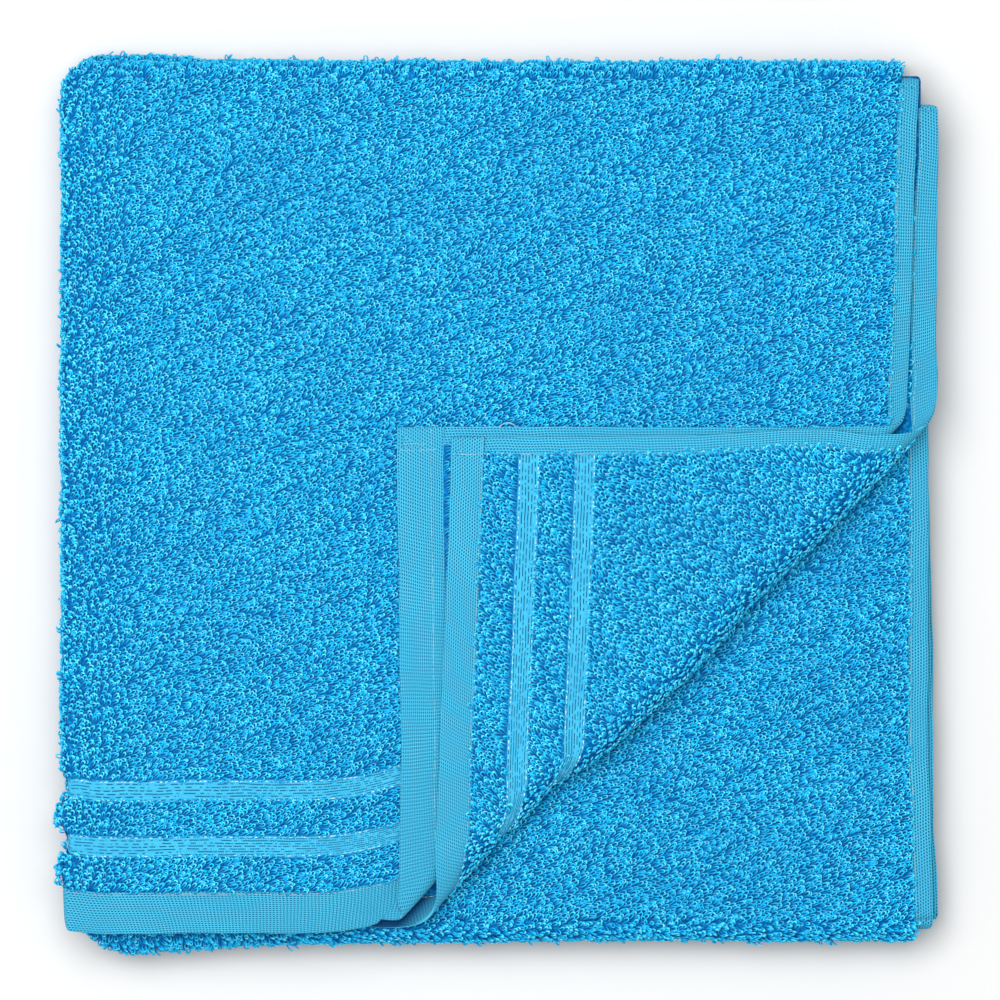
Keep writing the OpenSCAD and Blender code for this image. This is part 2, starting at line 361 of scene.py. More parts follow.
def ramp(tree, factor, low_at, high_at):
    node = tree.nodes.new("ShaderNodeMapRange")
    node.interpolation_type = "SMOOTHSTEP"
    node.inputs["From Min"].default_value = low_at
    node.inputs["From Max"].default_value = high_at
    tree.links.new(factor, node.inputs["Value"])
    return node.outputs["Result"]


def set_color(tree, shader, color):
    """Drive a shader's base colour."""
    tree.links.new(color, shader.inputs["Base Color"])


def add_bump(tree, shader, height, strength, distance):
    bump = add_node(tree, "ShaderNodeBump", Strength=strength, Distance=distance)
    tree.links.new(height, bump.inputs["Height"])
    tree.links.new(bump.outputs["Normal"], shader.inputs["Normal"])


# From a loop's root to its head: a darker blue that is painted shade, the yarn's own blue, and a paler
# blue that is a painted highlight
PILE_ROOT_SHADE = (0.0, 0.20, 0.55)
PILE_TIP = (0.008, 0.53, 0.90)
PILE_TIP_HIGHLIGHT = (0.130, 0.84, 0.99)


def pile_material():
    """Cotton loops: deep blue at the root as painted shade, pale at the tip as a painted highlight, each
    loop a little different.
    """
    material, tree, shader = node_material("terry_loops", PILE_TIP, 0.85, 0.35)
    tip = add_node(tree, "ShaderNodeAttribute", attribute_name="tip")
    tint = add_node(tree, "ShaderNodeAttribute", attribute_name="tint")
    cloud = object_texture(tree, "ShaderNodeTexNoise", Scale=28.0, Detail=3.0)
    fuzz = object_texture(tree, "ShaderNodeTexNoise", Scale=2600.0, Detail=2.0)
    # Painted shade: darker towards each loop's root
    color = mix_colors(tree, ramp(tree, tip.outputs["Fac"], 0.2, 0.95), PILE_ROOT_SHADE, PILE_TIP)
    pale = mix_colors(tree, ramp(tree, tint.outputs["Fac"], 0.1, 0.9), PILE_TIP, PILE_TIP_HIGHLIGHT)
    # Painted highlight: paler on each loop's head
    color = mix_colors(tree, ramp(tree, tip.outputs["Fac"], 0.78, 1.0), color, pale)
    dark = mix_colors(tree, ramp(tree, cloud.outputs["Fac"], 0.35, 0.7), PILE_CLOUD, WHITE)
    set_color(tree, shader, mix_colors(tree, 1.0, color, dark, "MULTIPLY"))
    add_bump(tree, shader, fuzz.outputs["Fac"], 0.35, 0.0003)
    return material


def math_node(tree, operation, first, second=0.0):
    node = add_node(tree, "ShaderNodeMath", operation=operation)
    for socket, value in ((node.inputs[0], first), (node.inputs[1], second)):
        if isinstance(value, bpy.types.NodeSocket):
            tree.links.new(value, socket)
        else:
            socket.default_value = value
    return node.outputs["Value"]


# Turn from one line's dashes to the next one's, in radians: never quite repeats
DASH_TURN = 2.4


def yarn_marks(tree, along, across, rib, dash, gap, ragged=False):
    """Dark openings between yarns that run along: one line every rib, broken into a dash every dash,
    each line's dashes shifted from the last one's. gap from -1 to 1 shortens the dashes."""
    lane = math_node(tree, "DIVIDE", across, rib)
    row = math_node(tree, "FLOOR", lane)
    from_middle = math_node(tree, "SUBTRACT", math_node(tree, "FRACT", lane), 0.5)
    offset = math_node(tree, "ABSOLUTE", from_middle)
    line = ramp(tree, offset, 0.22, 0.07) if ragged else ramp(tree, offset, 0.32, 0.14)
    if ragged:
        place = add_node(tree, "ShaderNodeCombineXYZ")
        tree.links.new(math_node(tree, "DIVIDE", along, dash), place.inputs["X"])
        tree.links.new(math_node(tree, "MULTIPLY", row, 7.3), place.inputs["Y"])
        noise = add_node(tree, "ShaderNodeTexNoise", Scale=1.0, Detail=1.0)
        tree.links.new(place.outputs["Vector"], noise.inputs["Vector"])
        pulse = ramp(tree, noise.outputs["Fac"], 0.44 + gap, 0.54 + gap)
    else:
        phase = math_node(tree, "MULTIPLY", row, DASH_TURN)
        turn = math_node(tree, "ADD", math_node(tree, "MULTIPLY", along, 2 * math.pi / dash), phase)
        pulse = ramp(tree, math_node(tree, "SINE", turn), gap, gap + 0.35)
    return line, math_node(tree, "MULTIPLY", line, pulse)


def weave_material(name, colors, rib, dash, gap, fine, strength, ragged=False):
    """A flat weave in the piece's own UV, in metres: yarns along U with dark openings between them.
    fine is the width of the single yarns, strength says how dark the lines between openings are."""
    material, tree, shader = node_material(name, colors[1], 0.8, 0.25)
    uv = add_node(tree, "ShaderNodeUVMap", uv_map="cloth")
    wobble = object_texture(tree, "ShaderNodeTexNoise", Scale=90.0, Detail=1.0)
    shift = add_node(tree, "ShaderNodeVectorMath", operation="SCALE", Scale=0.0010)
    tree.links.new(wobble.outputs["Color"], shift.inputs[0])
    moved = add_node(tree, "ShaderNodeVectorMath", operation="ADD")
    tree.links.new(uv.outputs["UV"], moved.inputs[0])
    tree.links.new(shift.outputs["Vector"], moved.inputs[1])
    split = add_node(tree, "ShaderNodeSeparateXYZ")
    tree.links.new(moved.outputs["Vector"], split.inputs["Vector"])
    along, across = split.outputs["X"], split.outputs["Y"]
    line, mark = yarn_marks(tree, along, across, rib, dash, gap, ragged)
    _, twist = yarn_marks(tree, along, across, fine, fine * 1.9, -0.2)
    cloud = object_texture(tree, "ShaderNodeTexNoise", Scale=45.0, Detail=3.0)
    patch = math_node(tree, "MULTIPLY", ramp(tree, cloud.outputs["Fac"], 0.3, 0.6), 0.25)
    mark = math_node(tree, "MULTIPLY", mark, math_node(tree, "ADD", patch, 0.75))
    soft = math_node(tree, "MULTIPLY", line, strength)
    color = mix_colors(tree, math_node(tree, "MULTIPLY", twist, 0.6), colors[2], colors[1])
    color = mix_colors(tree, soft, color, colors[0])
    color = mix_colors(tree, mark, color, colors[0])
    shade = mix_colors(tree, ramp(tree, cloud.outputs["Fac"], 0.35, 0.68), WEAVE_CLOUD, WHITE)
    color = mix_colors(tree, 1.0, color, shade, "MULTIPLY")
    deep = add_node(tree, "ShaderNodeAttribute", attribute_name="shade")
    dim = mix_colors(tree, deep.outputs["Fac"], WHITE, DEEP_SHADE)
    set_color(tree, shader, mix_colors(tree, 1.0, color, dim, "MULTIPLY"))
    hollow = math_node(tree, "MAXIMUM", mark, soft)
    hollow = math_node(tree, "ADD", hollow, math_node(tree, "MULTIPLY", twist, 0.25))
    add_bump(tree, shader, math_node(tree, "SUBTRACT", 1.0, hollow), 0.8, 0.0005)
    return material


def thread_material(name, color, dark):
    """A twisted thread, in two tones."""
    material, tree, shader = node_material(name, color, 0.7, 0.2)
    noise = object_texture(tree, "ShaderNodeTexNoise", Scale=900.0, Detail=2.0)
    set_color(tree, shader, mix_colors(tree, ramp(tree, noise.outputs["Fac"], 0.35, 0.65), dark, color))
    add_bump(tree, shader, noise.outputs["Fac"], 0.3, 0.0002)
    return material


# The ground cloth's blues are darker than the loops' yarn: painted deep shade from the loops over it
GROUND_MEAN = (0.001, 0.15, 0.40)
GROUND_YARN = (0.002, 0.25, 0.56)
GROUND_GAP = (0.0, 0.10, 0.30)


def ground_material():
    """The ground cloth between the loops, in deep shade."""
    material, tree, shader = node_material("ground_cloth", GROUND_MEAN, 0.95, 0.0)
    cells = object_texture(tree, "ShaderNodeTexVoronoi", Scale=620.0)
    distance = cells.outputs["Distance"]
    set_color(tree, shader, mix_colors(tree, ramp(tree, distance, 0.15, 0.65), GROUND_YARN, GROUND_GAP))
    add_bump(tree, shader, math_node(tree, "SUBTRACT", 1.0, distance), 0.7, 0.0009)
    return material


# Each weave's opening, yarn shadow and yarn
HEM_COLORS = ((0.0, 0.09, 0.22), (0.026, 0.32, 0.53), (0.062, 0.46, 0.68))
STRIPE_COLORS = ((0.0, 0.09, 0.22), (0.020, 0.30, 0.54), (0.055, 0.46, 0.71))
PILE = pile_material()
HEM = weave_material("end_hem_weave", HEM_COLORS, 0.00096, 0.00140, -0.1, 0.00048, 0.20)
SIDE_HEM = weave_material("side_hem_weave", HEM_COLORS, 0.00110, 0.00130, -0.1, 0.00055, 0.18)
STRIPE = weave_material("stripe_weave", STRIPE_COLORS, 0.00128, 0.0019, -0.02, 0.00050, 0.0, ragged=True)
SEAM = thread_material("seam_thread", (0.40, 0.56, 0.56), (0.16, 0.46, 0.58))
TWINKLE = thread_material("pale_stripe_yarn", (0.45, 0.80, 0.90), (0.08, 0.50, 0.76))
GROUND = ground_material()
# What the pile's mesh carries; the object's own slot shows PILE
PLAIN_PILE, _, _ = node_material("terry_loops_plain", (0.016, 0.36, 0.70), 0.85, 0.35)


# ---------------------------------------- mesh makers

def new_piece(name, points, quads, material, uv=None, values=None, caps=()):
    """A smooth mesh from points in millimetres and quads; values are float attributes by name."""
    mesh = bpy.data.meshes.new(name)
    mesh.vertices.add(len(points))
    mesh.vertices.foreach_set("co", (settle(points) * MM).astype(np.float32).ravel())
    cap_sizes = np.array([len(cap) for cap in caps], int)
    sizes = np.concatenate([np.full(len(quads), 4), cap_sizes]).astype(np.int32)
    corners = np.concatenate([np.asarray(quads).ravel(), *caps]).astype(np.int32)
    mesh.loops.add(len(corners))
    mesh.loops.foreach_set("vertex_index", corners)
    mesh.polygons.add(len(sizes))
    starts = np.concatenate([[0], np.cumsum(sizes)[:-1]]).astype(np.int32)
    mesh.polygons.foreach_set("loop_start", starts)
    mesh.polygons.foreach_set("use_smooth", np.arange(len(sizes)) < len(quads))
    mesh.update(calc_edges=True)
    for key, value in (values or {}).items():
        mesh.attributes.new(key, "FLOAT", "POINT").data.foreach_set("value", value.astype(np.float32))
    if uv is not None:
        layer = mesh.uv_layers.new(name="cloth")
        layer.data.foreach_set("uv", uv[corners].astype(np.float32).ravel())
    piece = bpy.data.objects.new(name, mesh)
    bpy.context.scene.collection.objects.link(piece)
    mesh.materials.append(material)
    return piece


def ring_quads(count, rings, sides):
    """Quads of count separate tubes, each with rings of so many sides."""
    ring, side = np.meshgrid(np.arange(rings - 1), np.arange(sides), indexing="ij")
    after = (side + 1) % sides
    here, ahead = ring * sides, (ring + 1) * sides
    one = np.stack([here + side, here + after, ahead + after, ahead + side], -1)
    starts = np.arange(count) * rings * sides
    return (starts[:, None, None] + one.reshape(-1, 4)[None]).reshape(-1, 4)


def tube_caps(count, rings, sides):
    """The two end faces of each of count separate tubes."""
    first = np.arange(sides)
    last = first + (rings - 1) * sides
    starts = np.arange(count) * rings * sides
    return [cap for start in starts for cap in (start + first[::-1], start + last)]


def unit(v):
    return v / np.maximum(np.linalg.norm(v, axis=-1, keepdims=True), 1e-9)


def tube_points(centres, plane, radius, sides):
    """Rings round centre lines (N, R, 3) that lie about in planes with normals (N, 3)."""
    along = unit(np.gradient(centres, axis=1))
    b = plane[:, None, :]
    v = unit(np.cross(along, b))
    b = np.cross(v, along)
    angle = (np.arange(sides) + 0.5) * 2 * math.pi / sides
    ring = np.cos(angle)[:, None] * b[:, :, None, :] + np.sin(angle)[:, None] * v[:, :, None, :]
    return centres[:, :, None, :] + radius[..., None, None] * ring


def way_along(line):
    """The distance of each of a line's points (K, 3) from its start."""
    return np.concatenate([[0], np.cumsum(np.linalg.norm(np.diff(line, axis=0), axis=1))])


WHOLE = slice(None)


def ribbon(name, first, second, material, profile, part=WHOLE, shade=None):
    """A strip between two edge lines (K, 3). profile lists (across, height) round its section,
    across from -1 at the first edge to 1 at the second, counter-clockwise about the strip's length.
    part picks a stretch of the lines; shade(points) says how deep in shade each point lies."""
    centre, half = (first + second) / 2, (second - first) / 2
    along = unit(np.gradient(centre, axis=0))
    up = unit(np.cross(along, half))
    across, height = profile.T
    points = centre[:, None] + across[None, :, None] * half[:, None] + height[None, :, None] * up[:, None]
    length = way_along(centre)
    width = np.linalg.norm(half, axis=1)
    uv = np.stack(np.broadcast_arrays(length[:, None], across[None] * width[:, None]), -1) * MM
    values = {} if shade is None else {"shade": shade(points)[part].ravel()}
    points, uv = points[part], uv[part]
    count, sides = points.shape[:2]
    points, uv = points.reshape(-1, 3), uv.reshape(-1, 2)
    first_cap, last_cap = tube_caps(1, count, sides)
    caps = []
    if not part.start:
        caps.append(first_cap)
    if part.stop is None or part.stop == len(centre):
        caps.append(last_cap)
    return new_piece(name, points, ring_quads(1, count, sides), material, uv, values, caps)


def flat_profile(thickness, steps=7):
    """A flat section with round edges: a hem."""
    angle = np.linspace(0, 2 * math.pi, 4 * steps, endpoint=False)
    across = np.sign(np.cos(angle)) * np.abs(np.cos(angle)) ** 0.55
    height = np.sign(np.sin(angle)) * np.abs(np.sin(angle)) ** 0.45 * thickness / 2
    return np.stack([across, height], -1)


def ribbed_profile(thickness, ribs=4, steps=8):
    """A flat section with ribs along both faces: a woven stripe."""
    across = np.linspace(1, -1, ribs * steps + 1)
    height = thickness / 2 * (0.62 + 0.38 * np.abs(np.sin((across + 1) / 2 * ribs * math.pi)))
    height = height * np.minimum(1, (1 - np.abs(across)) * 12 + 0.35)
    upper = np.stack([across, height], -1)
    lower = np.stack([-across, -height], -1)
    return np.concatenate([upper, lower])


def slab(name, grid, thickness):
    """A closed thin cloth on a grid of points (U, V, 3)."""
    du, dv = np.gradient(grid, axis=0), np.gradient(grid, axis=1)
    normal = unit(np.cross(du, dv))
    count_u, count_v = grid.shape[:2]
    index = np.arange(count_u * count_v).reshape(count_u, count_v)
    offset = normal * thickness / 2
    points = np.concatenate([(grid + offset).reshape(-1, 3), (grid - offset).reshape(-1, 3)])
    under = count_u * count_v
    top = np.stack([index[:-1, :-1], index[1:, :-1], index[1:, 1:], index[:-1, 1:]], -1).reshape(-1, 4)
    bottom = top[:, ::-1] + under
    rim = np.concatenate([index[:, 0], index[-1, 1:], index[-2::-1, -1], index[0, -2::-1]])
    before, after = rim[:-1], rim[1:]
    sides = np.stack([before, before + under, after + under, after], -1)
    return new_piece(name, points, np.concatenate([top, bottom, sides]), GROUND)


# ---------------------------------------- ways to ride

def attach(piece, where):
    """where is a body's name, the number of the lower panel of a fold for a piece of the fold's outer
    layer, or that number and the radius at which another layer turns. Only a body's name attaches
    the piece; for the numbers its transform is baked into its mesh and it is not attached."""
    if isinstance(where, str):
        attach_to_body(piece, where)
        return
    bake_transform(piece)


def finish_piece(piece, where, nodes=()):
    """Attach a piece and say which nodes it replaces."""
    attach(piece, where)
    if nodes:
        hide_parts(*nodes)
    return piece


# ---------------------------------------- pile

# Loops where they show, and larger and sparser ones where they are hidden until the towel is opened
FINE = {"pitch": 1.70, "rings": 7, "yarn": 0.37, "width": 0.60, "height": 2.0, "lean": 3.0}
COARSE = {"pitch": 3.5, "rings": 5, "yarn": 0.66, "width": 0.90, "height": 2.0, "lean": 3.4}
# Loops inside a fold, thin, and the length they are scattered over, which is spread round the fold's half
# turn
INSIDE = {"pitch": 2.2, "rings": 5, "yarn": 0.24, "width": 0.80, "height": 2.0, "lean": 0.2}
OPENED_ARC = 19.0
LOOP_SIDES = 3
# How much single loops differ, as shares of the style's own measures
HEIGHTS = (0.80, 1.14)
LEANS = (0.72, 1.28)
WIDTHS = (0.75, 1.3)
YARNS = (0.88, 1.12)
STRAY_HEIGHT = 1.7
LOOP_TWIST = 0.24
# How far a loop's outline is drawn out to both sides, in widths
LOOP_REACH = 1.45
MOST_TRIANGLES = 190000
# How far from the lengthwise fold the loops start to stand up
FOLD_REACH = 32
# Loops under the towel are pressed flat this far above the table
TABLE_GAP = 0.02
draws = np.random.default_rng(20)


def patchy(x, y, size, seed):
    """Smooth patches between about -1 and 1, a few sizes wide."""
    total = 0.0
    for k in range(5):
        way = 2.4 * k + seed
        wave = (x * math.cos(way) + y * math.sin(way)) / size
        total = total + np.sin(wave * (1 + 0.35 * k) + 5.1 * k + seed)
    return total / 2.6


def scatter(x0, x1, y0, y1, pitch, way=0.0):
    """Staggered rows that run the way the loops lean, with some jitter, as the weave sets the loops."""
    reach = math.hypot(x1 - x0, y1 - y0) / 2 + pitch
    steps = np.arange(-reach, reach, pitch)
    along, across = np.meshgrid(steps, steps)
    along = along + (np.arange(len(steps)) % 2 * pitch / 2)[:, None]
    along = along + draws.uniform(-0.34, 0.34, along.shape) * pitch
    across = across + draws.uniform(-0.18, 0.18, across.shape) * pitch
    x = (x0 + x1) / 2 + along * math.cos(way) - across * math.sin(way)
    y = (y0 + y1) / 2 + along * math.sin(way) + across * math.cos(way)
    inside = (x > x0) & (x < x1) & (y > y0) & (y < y1)
    x, y = x[inside], y[inside]
    bend = 0.28 * pitch
    return x + bend * patchy(x, y, 2.6, 1.3), y + bend * patchy(x, y, 2.6, 4.9)


def turned(direction, normal, angle):
    """direction turned about the normal."""
    c, s = np.cos(angle)[:, None], np.sin(angle)[:, None]
    return c * direction + s * np.cross(normal, direction)


def grow(name, bases, normals, leans, style, where, upright=0.0, spread=0.18, stray=0.0):
    """Loops of yarn on base points, leaning along leans; upright from 0 to 1 stands them up, spread says
    how much their ways differ and stray is the share of long loops."""
    count, rings = len(bases), style["rings"]
    if count == 0:
        return
    upright = np.broadcast_to(np.asarray(upright, float), (count,))
    lean_way = turned(leans, normals, draws.normal(0, 1, count) * (spread + 0.5 * upright))
    height = style["height"] * draws.uniform(*HEIGHTS, count) * (1 + 0.08 * upright)
    height = height * (1 + 0.12 * patchy(bases[:, 0], bases[:, 1], 1.9, 0.4))
    height = height * np.where(draws.uniform(0, 1, count) < stray, STRAY_HEIGHT, 1.0)
    lean = style["lean"] * draws.uniform(*LEANS, count) * (1 - 0.6 * upright)
    width = style["width"] * draws.uniform(*WIDTHS, count)
    yarn = style["yarn"] * draws.uniform(*YARNS, count)
    up = unit(normals * height[:, None] + lean_way * lean[:, None])
    side = unit(np.cross(normals, lean_way))
    third = np.cross(side, up)
    twist = draws.normal(0, LOOP_TWIST, count)
    side = np.cos(twist)[:, None] * side + np.sin(twist)[:, None] * third
    t = np.linspace(0, 1, rings)
    rise = np.sin(math.pi * t) ** 0.8
    spread_out = -np.cos(math.pi * t) * (0.45 + 0.75 * np.sin(math.pi * t))
    centres = (
        bases[:, None]
        + side[:, None] * (spread_out[None] * width[:, None])[..., None] * LOOP_REACH
        + normals[:, None] * ((1 - (1 - rise) ** 1.5)[None] * height[:, None])[..., None]
        + lean_way[:, None] * ((rise**1.25)[None] * lean[:, None])[..., None]
    )
    radius = yarn[:, None] * (0.85 + 0.2 * rise)[None]
    centres = centres - normals[:, None] * radius[..., None] * rise[None, :, None]
    points = tube_points(centres, np.cross(side, up), radius, LOOP_SIDES)
    points[..., 2] = np.maximum(points[..., 2], TABLE_GAP)
    tip = np.broadcast_to(rise[None, :, None], points.shape[:3])
    tint = np.broadcast_to(draws.uniform(0, 1, count)[:, None, None], points.shape[:3])
    most = MOST_TRIANGLES // ((rings - 1) * LOOP_SIDES * 2)
    for k, start in enumerate(range(0, count, most)):
        part = slice(start, min(start + most, count))
        quads = ring_quads(part.stop - part.start, rings, LOOP_SIDES)
        values = {"tip": tip[part].ravel(), "tint": tint[part].ravel()}
        label = name if count <= most else f"{name}_{k + 1}"
        piece = new_piece(label, points[part].reshape(-1, 3), quads, PLAIN_PILE, values=values)
        piece.material_slots[0].link = "OBJECT"
        piece.material_slots[0].material = PILE
        finish_piece(piece, where)


def border_masks(d, hem_w, before=0.4, after=0.4):
    """Which terry zone a distance from the end edge falls in: the two bands and the field. Loops may
    be planted a little before and after a zone, as they lean away from one edge and over the other."""
    first = hem_w
    second = hem_w + BAND_W + STRIPE_W
    field = hem_w + 2 * (BAND_W + STRIPE_W)
    return {
        "outer_band": (d > first - before) & (d < first + BAND_W + after),
        "inner_band": (d > second - before) & (d < second + BAND_W + after),
        "field": d > field - before,
    }


def panel_bounds(panel, layer, x, y):
    """Inside the terry of a panel's layer, away from the hems and the cross folds."""
    overlap = (-4.2, -0.9)[layer] if panel == TOP else -1.3
    inside = (x > left_edge(panel, y)) & (x < side_edge(panel, layer, y) - SIDE_HEM_W + overlap)
    inside &= y < Y_BACK - ROLL_R
    if not has_ends(panel):
        inside &= y > Y_FRONT + ROLL_R
    if panel == TOP:
        inside &= x - y < fold_start(x + y)
    return inside


def panel_zones(panel, layer, x, y):
    """The terry zones of a panel's layer."""
    if not has_ends(panel):
        return {"field": np.ones(x.shape, bool)}
    return border_masks(y - end_edge(panel, layer, x), END_HEM_W[layer], 1.0, -0.3)


def plant(label, panel, layer, face, style, angle, x, y, inside, zones, by_fold, seed):
    """Loops on one face (1 up, -1 down) of a flat layer, one pile for each zone of the cloth. by_fold
    grows to 1 at the lengthwise fold, where the loops stand up and turn."""
    for zone, mask in zones.items():
        pick = inside & mask
        px, py, close = x[pick], y[pick], by_fold[pick]
        bases = vectors(px, py, TERRY_Z[panel][layer] + HALF_T + 0.15 * face)
        normals = np.tile([0.0, 0.0, float(face)], (len(px), 1))
        way = angle + close * 0.9 + 0.26 * patchy(px, py, 7.0, seed)
        leans = vectors(np.cos(way), np.sin(way), 0.0)
        suffix = "" if zone == "field" else f"_{zone}"
        grow(f"{label}{suffix}_pile", bases, normals, leans, style, BODIES[panel], upright=0.75 * close)


def panel_pile(label, panel, layer, face, style, angle, choose):
    """Pile on one face of a panel's layer where choose(x, y) holds."""
    x, y = scatter(X_LEFT, SIDE_X[panel][layer], Y_FRONT - 2, Y_BACK, style["pitch"], angle)
    inside = panel_bounds(panel, layer, x, y) & choose(x, y)
    by_fold = np.clip(1 - (x - X_LEFT) / FOLD_REACH, 0, 1)
    zones = panel_zones(panel, layer, x, y)
    plant(label, panel, layer, face, style, angle, x, y, inside, zones, by_fold, 2.2)


def flap_pile(label, layer, face, style, angle, choose):
    """The same for a layer of the turned-back corner."""
    x, y = scatter(FLAP_X[layer], SIDE_X[TOP][1], Y_FRONT, FLAP_Y[layer], style["pitch"], angle)
    inside = (y < flap_top(layer, x) - SIDE_HEM_W + 0.4) & (x - y < fold_start(x + y) + 1.5) & choose(x, y)
    zones = border_masks(x - flap_left(layer, y), END_HEM_W[1 - layer], -0.9, 1.1)
    plant(label, FLAP, layer, face, style, angle, x, y, inside, zones, np.zeros(x.shape), 3.1)


def anywhere(x, y):
    return np.ones(x.shape, bool)


def under_flap(x, y):
    return (x > FLAP_X[0] + 4) & (y < FLAP_Y[0] - 4)


def beside_flap(x, y):
    return ~under_flap(x, y)


def exposed_corner(x, y):
    return x - y > fold_start(x + y) + 5


def covered_part(x, y):
    return ~exposed_corner(x, y)


# How much wider the upper end hem lies on the turned-back corner
FLAP_HEM_EXTRA = 1.8


def hem_gap(x, y):
    """The narrow strip of pile seen between the two end hems of the turned-back corner."""
    a = x - flap_left(0, y)
    return (a > END_HEM_W[1] + FLAP_HEM_EXTRA - 0.5) & (a < END_HEM_W[1] + 9)


def near_edges(panel, layer):
    """Where a panel's inside faces can be seen between its layers: by the side hem and the end hem."""
    def choose(x, y):
        strip = x > side_edge(panel, layer, y) - SIDE_HEM_W - 12
        if has_ends(panel):
            strip |= y < end_edge(panel, layer, x) + END_HEM_W[layer] + 12
        return strip
    return choose


def side_roll_pile(panel):
    """Pile round the lengthwise fold of a panel, from under its lower layer to over its upper one. The
    angle u about the fold's centre line and y are scattered together."""
    pitch = 0.76 if panel == TOP else 1.0
    u, y = scatter(-math.pi / 2, math.pi / 2, Y_FRONT - 2, Y_BACK - ROLL_R, pitch)
    upper = (np.sin(u) + 1) / 2
    if has_ends(panel):
        lower_d = y - end_edge(panel, 0, X_LEFT)
        upper_d = y - end_edge(panel, 1, X_LEFT)
        d = lower_d * (1 - upper) + upper_d * upper
        hem_w = END_HEM_W[0] * (1 - upper) + END_HEM_W[1] * upper
        masks = border_masks(d, hem_w)
        keep = masks["outer_band"] | masks["inner_band"] | masks["field"]
        beside = border_masks(upper_d, END_HEM_W[1])
        keep &= beside["outer_band"] | beside["inner_band"] | beside["field"] | (u < -0.8)
    else:
        keep = y > Y_FRONT + ROLL_R
    u, y = u[keep], y[keep]
    normals = vectors(-np.cos(u), 0.0, np.sin(u))
    bases = vectors(left_edge(panel, y), y, TERRY_Z[panel][1]) + normals * HALF_T
    leans = np.tile([0.0, 1.0, 0.0], (len(u), 1))
    name = f"{PANELS[panel]}_side_fold_pile"
    grow(name, bases, normals, leans, FINE, PANELS[panel], upright=0.7, spread=0.9, stray=0.03)


def cross_fold_x(panel, inner, theta):
    """x of the terry's right end on a cross fold above panel, at each theta."""
    y = fold_centre_y(panel)
    below = side_edge(panel, 1 if inner else 0, y) - SIDE_HEM_W
    above = side_edge(panel + 1, 0 if inner else 1, y) - SIDE_HEM_W
    return below + (above - below) * (np.sin(theta) + 1) / 2


def fold_side(panel):
    """1 where the fold above a panel is at the back, -1 where it is at the front."""
    return -1 if panel == LOWER else 1


def fold_centre_y(panel):
    return Y_BACK - ROLL_R if fold_side(panel) == 1 else Y_FRONT + ROLL_R


def fold_bulge(panel, x):
    """How far a cross fold stands out past its plain radius."""
    if panel == BOTTOM:
        peek = eased(x, (-172, -162, -130, -118, -30, 20), (0.0, 3.6, 3.2, 1.6, 1.2, 0.0))
        return peek + 0.5 * wavy(x, 41)
    if panel == MIDDLE:
        return 0.6 * wavy(x, 43)
    peek = eased(x, (-170, -148, -130, -98, -50, 40), (0.0, 5.2, 3.6, 2.2, 0.8, 0.0))
    return peek + 0.4 * wavy(x, 42)


def cross_fold_points(panel, x, theta, radius):
    """Points on the fold above a panel; x may run past the left end, which is round."""
    side = fold_side(panel)
    flat = radius * np.cos(theta)
    y = fold_centre_y(panel) + side * (flat + fold_bulge(panel, x) * np.cos(theta) * radius / OUTER_R)
    return vectors(x, y, fold_z(panel) + radius * np.sin(theta))


def fold_left(panel, theta, radius):
    """x of the lengthwise fold's centre line on a cross fold."""
    reach = radius * np.cos(theta)
    corner = BACK_CORNER if fold_side(panel) == 1 else FRONT_CORNER
    return X_CENTRE + corner_inset(ROLL_R - reach, corner)


def cross_fold_pile(panel, name):
    """Pile over the outside of a cross fold, and round its left end."""
    arc = math.pi * (OUTER_R + 1)
    x, v = scatter(X_LEFT, SIDE_X[panel][0], -arc / 2, arc / 2, FINE["pitch"])
    theta = v / arc * math.pi
    keep = (x > fold_left(panel, theta, OUTER_R)) & (x < cross_fold_x(panel, False, theta) + 0.4)
    x, theta = x[keep], theta[keep]
    side = fold_side(panel)
    bases = cross_fold_points(panel, x, theta, OUTER_R)
    normals = vectors(0.0, side * np.cos(theta), np.sin(theta))
    along = 0.45 if side == 1 else 0.3 + eased(x, (-115, -60), (0.0, 0.6))
    fall = 1.0 if side == 1 else eased(x, (-115, -60), (1.0, -0.5))
    leans = unit(vectors(along, fall * side * np.sin(theta), -0.6 * fall * np.cos(theta)))
    grow(f"{name}_pile", bases, normals, leans, FINE, panel, upright=0.25, spread=0.5, stray=0.05)
    alpha, v = scatter(0, math.pi, -arc / 2, arc / 2, 1.0)
    rows = draws.permutation(len(alpha))
    alpha, theta = alpha[rows], v[rows] / arc * math.pi
    radius = MIDDLE_R - HALF_T * np.cos(alpha)
    x = fold_left(panel, theta, radius) - HALF_T * np.sin(alpha)
    bases = cross_fold_points(panel, x, theta, radius)
    outward = -np.cos(alpha)
    normals = vectors(-np.sin(alpha), outward * side * np.cos(theta), outward * np.sin(theta))
    leans = vectors(0.0, -side * np.sin(theta), np.cos(theta))
    grow(f"{name}_end_pile", bases, normals, leans, FINE, (panel, MIDDLE_R), upright=0.6, spread=0.8)


def cross_fold_inside_pile(panel, name):
    """Pile inside a cross fold, which shows when the fold is opened and the layer is drawn out."""
    reach = OPENED_ARC / 2
    x, v = scatter(X_CENTRE + 4, SIDE_X[TOP][1] - SIDE_HEM_W - 2, -reach, reach, INSIDE["pitch"])
    theta = v / OPENED_ARC * math.pi
    bases = cross_fold_points(panel, x, theta, INNER_R)
    side = fold_side(panel)
    normals = vectors(0.0, -side * np.cos(theta), -np.sin(theta))
    leans = vectors(0.0, -side * np.sin(theta), np.cos(theta))
    grow(f"{name}_inside_pile", bases, normals, leans, INSIDE, (panel, INNER_R), spread=0.0)


# ---------------------------------------- cloth

CLOTH_T = 0.7
# Points across the flat part of a layer, round the lengthwise fold and round a cross fold
FLAT_STEPS = 44
ARC_STEPS = 9
THETA_STEPS = 17
# Where the flat part ends by the lengthwise fold, as a share of a layer's width
NEAR_FOLD = 0.02
# How far the cloth reaches under the hems
UNDER_HEM = 1


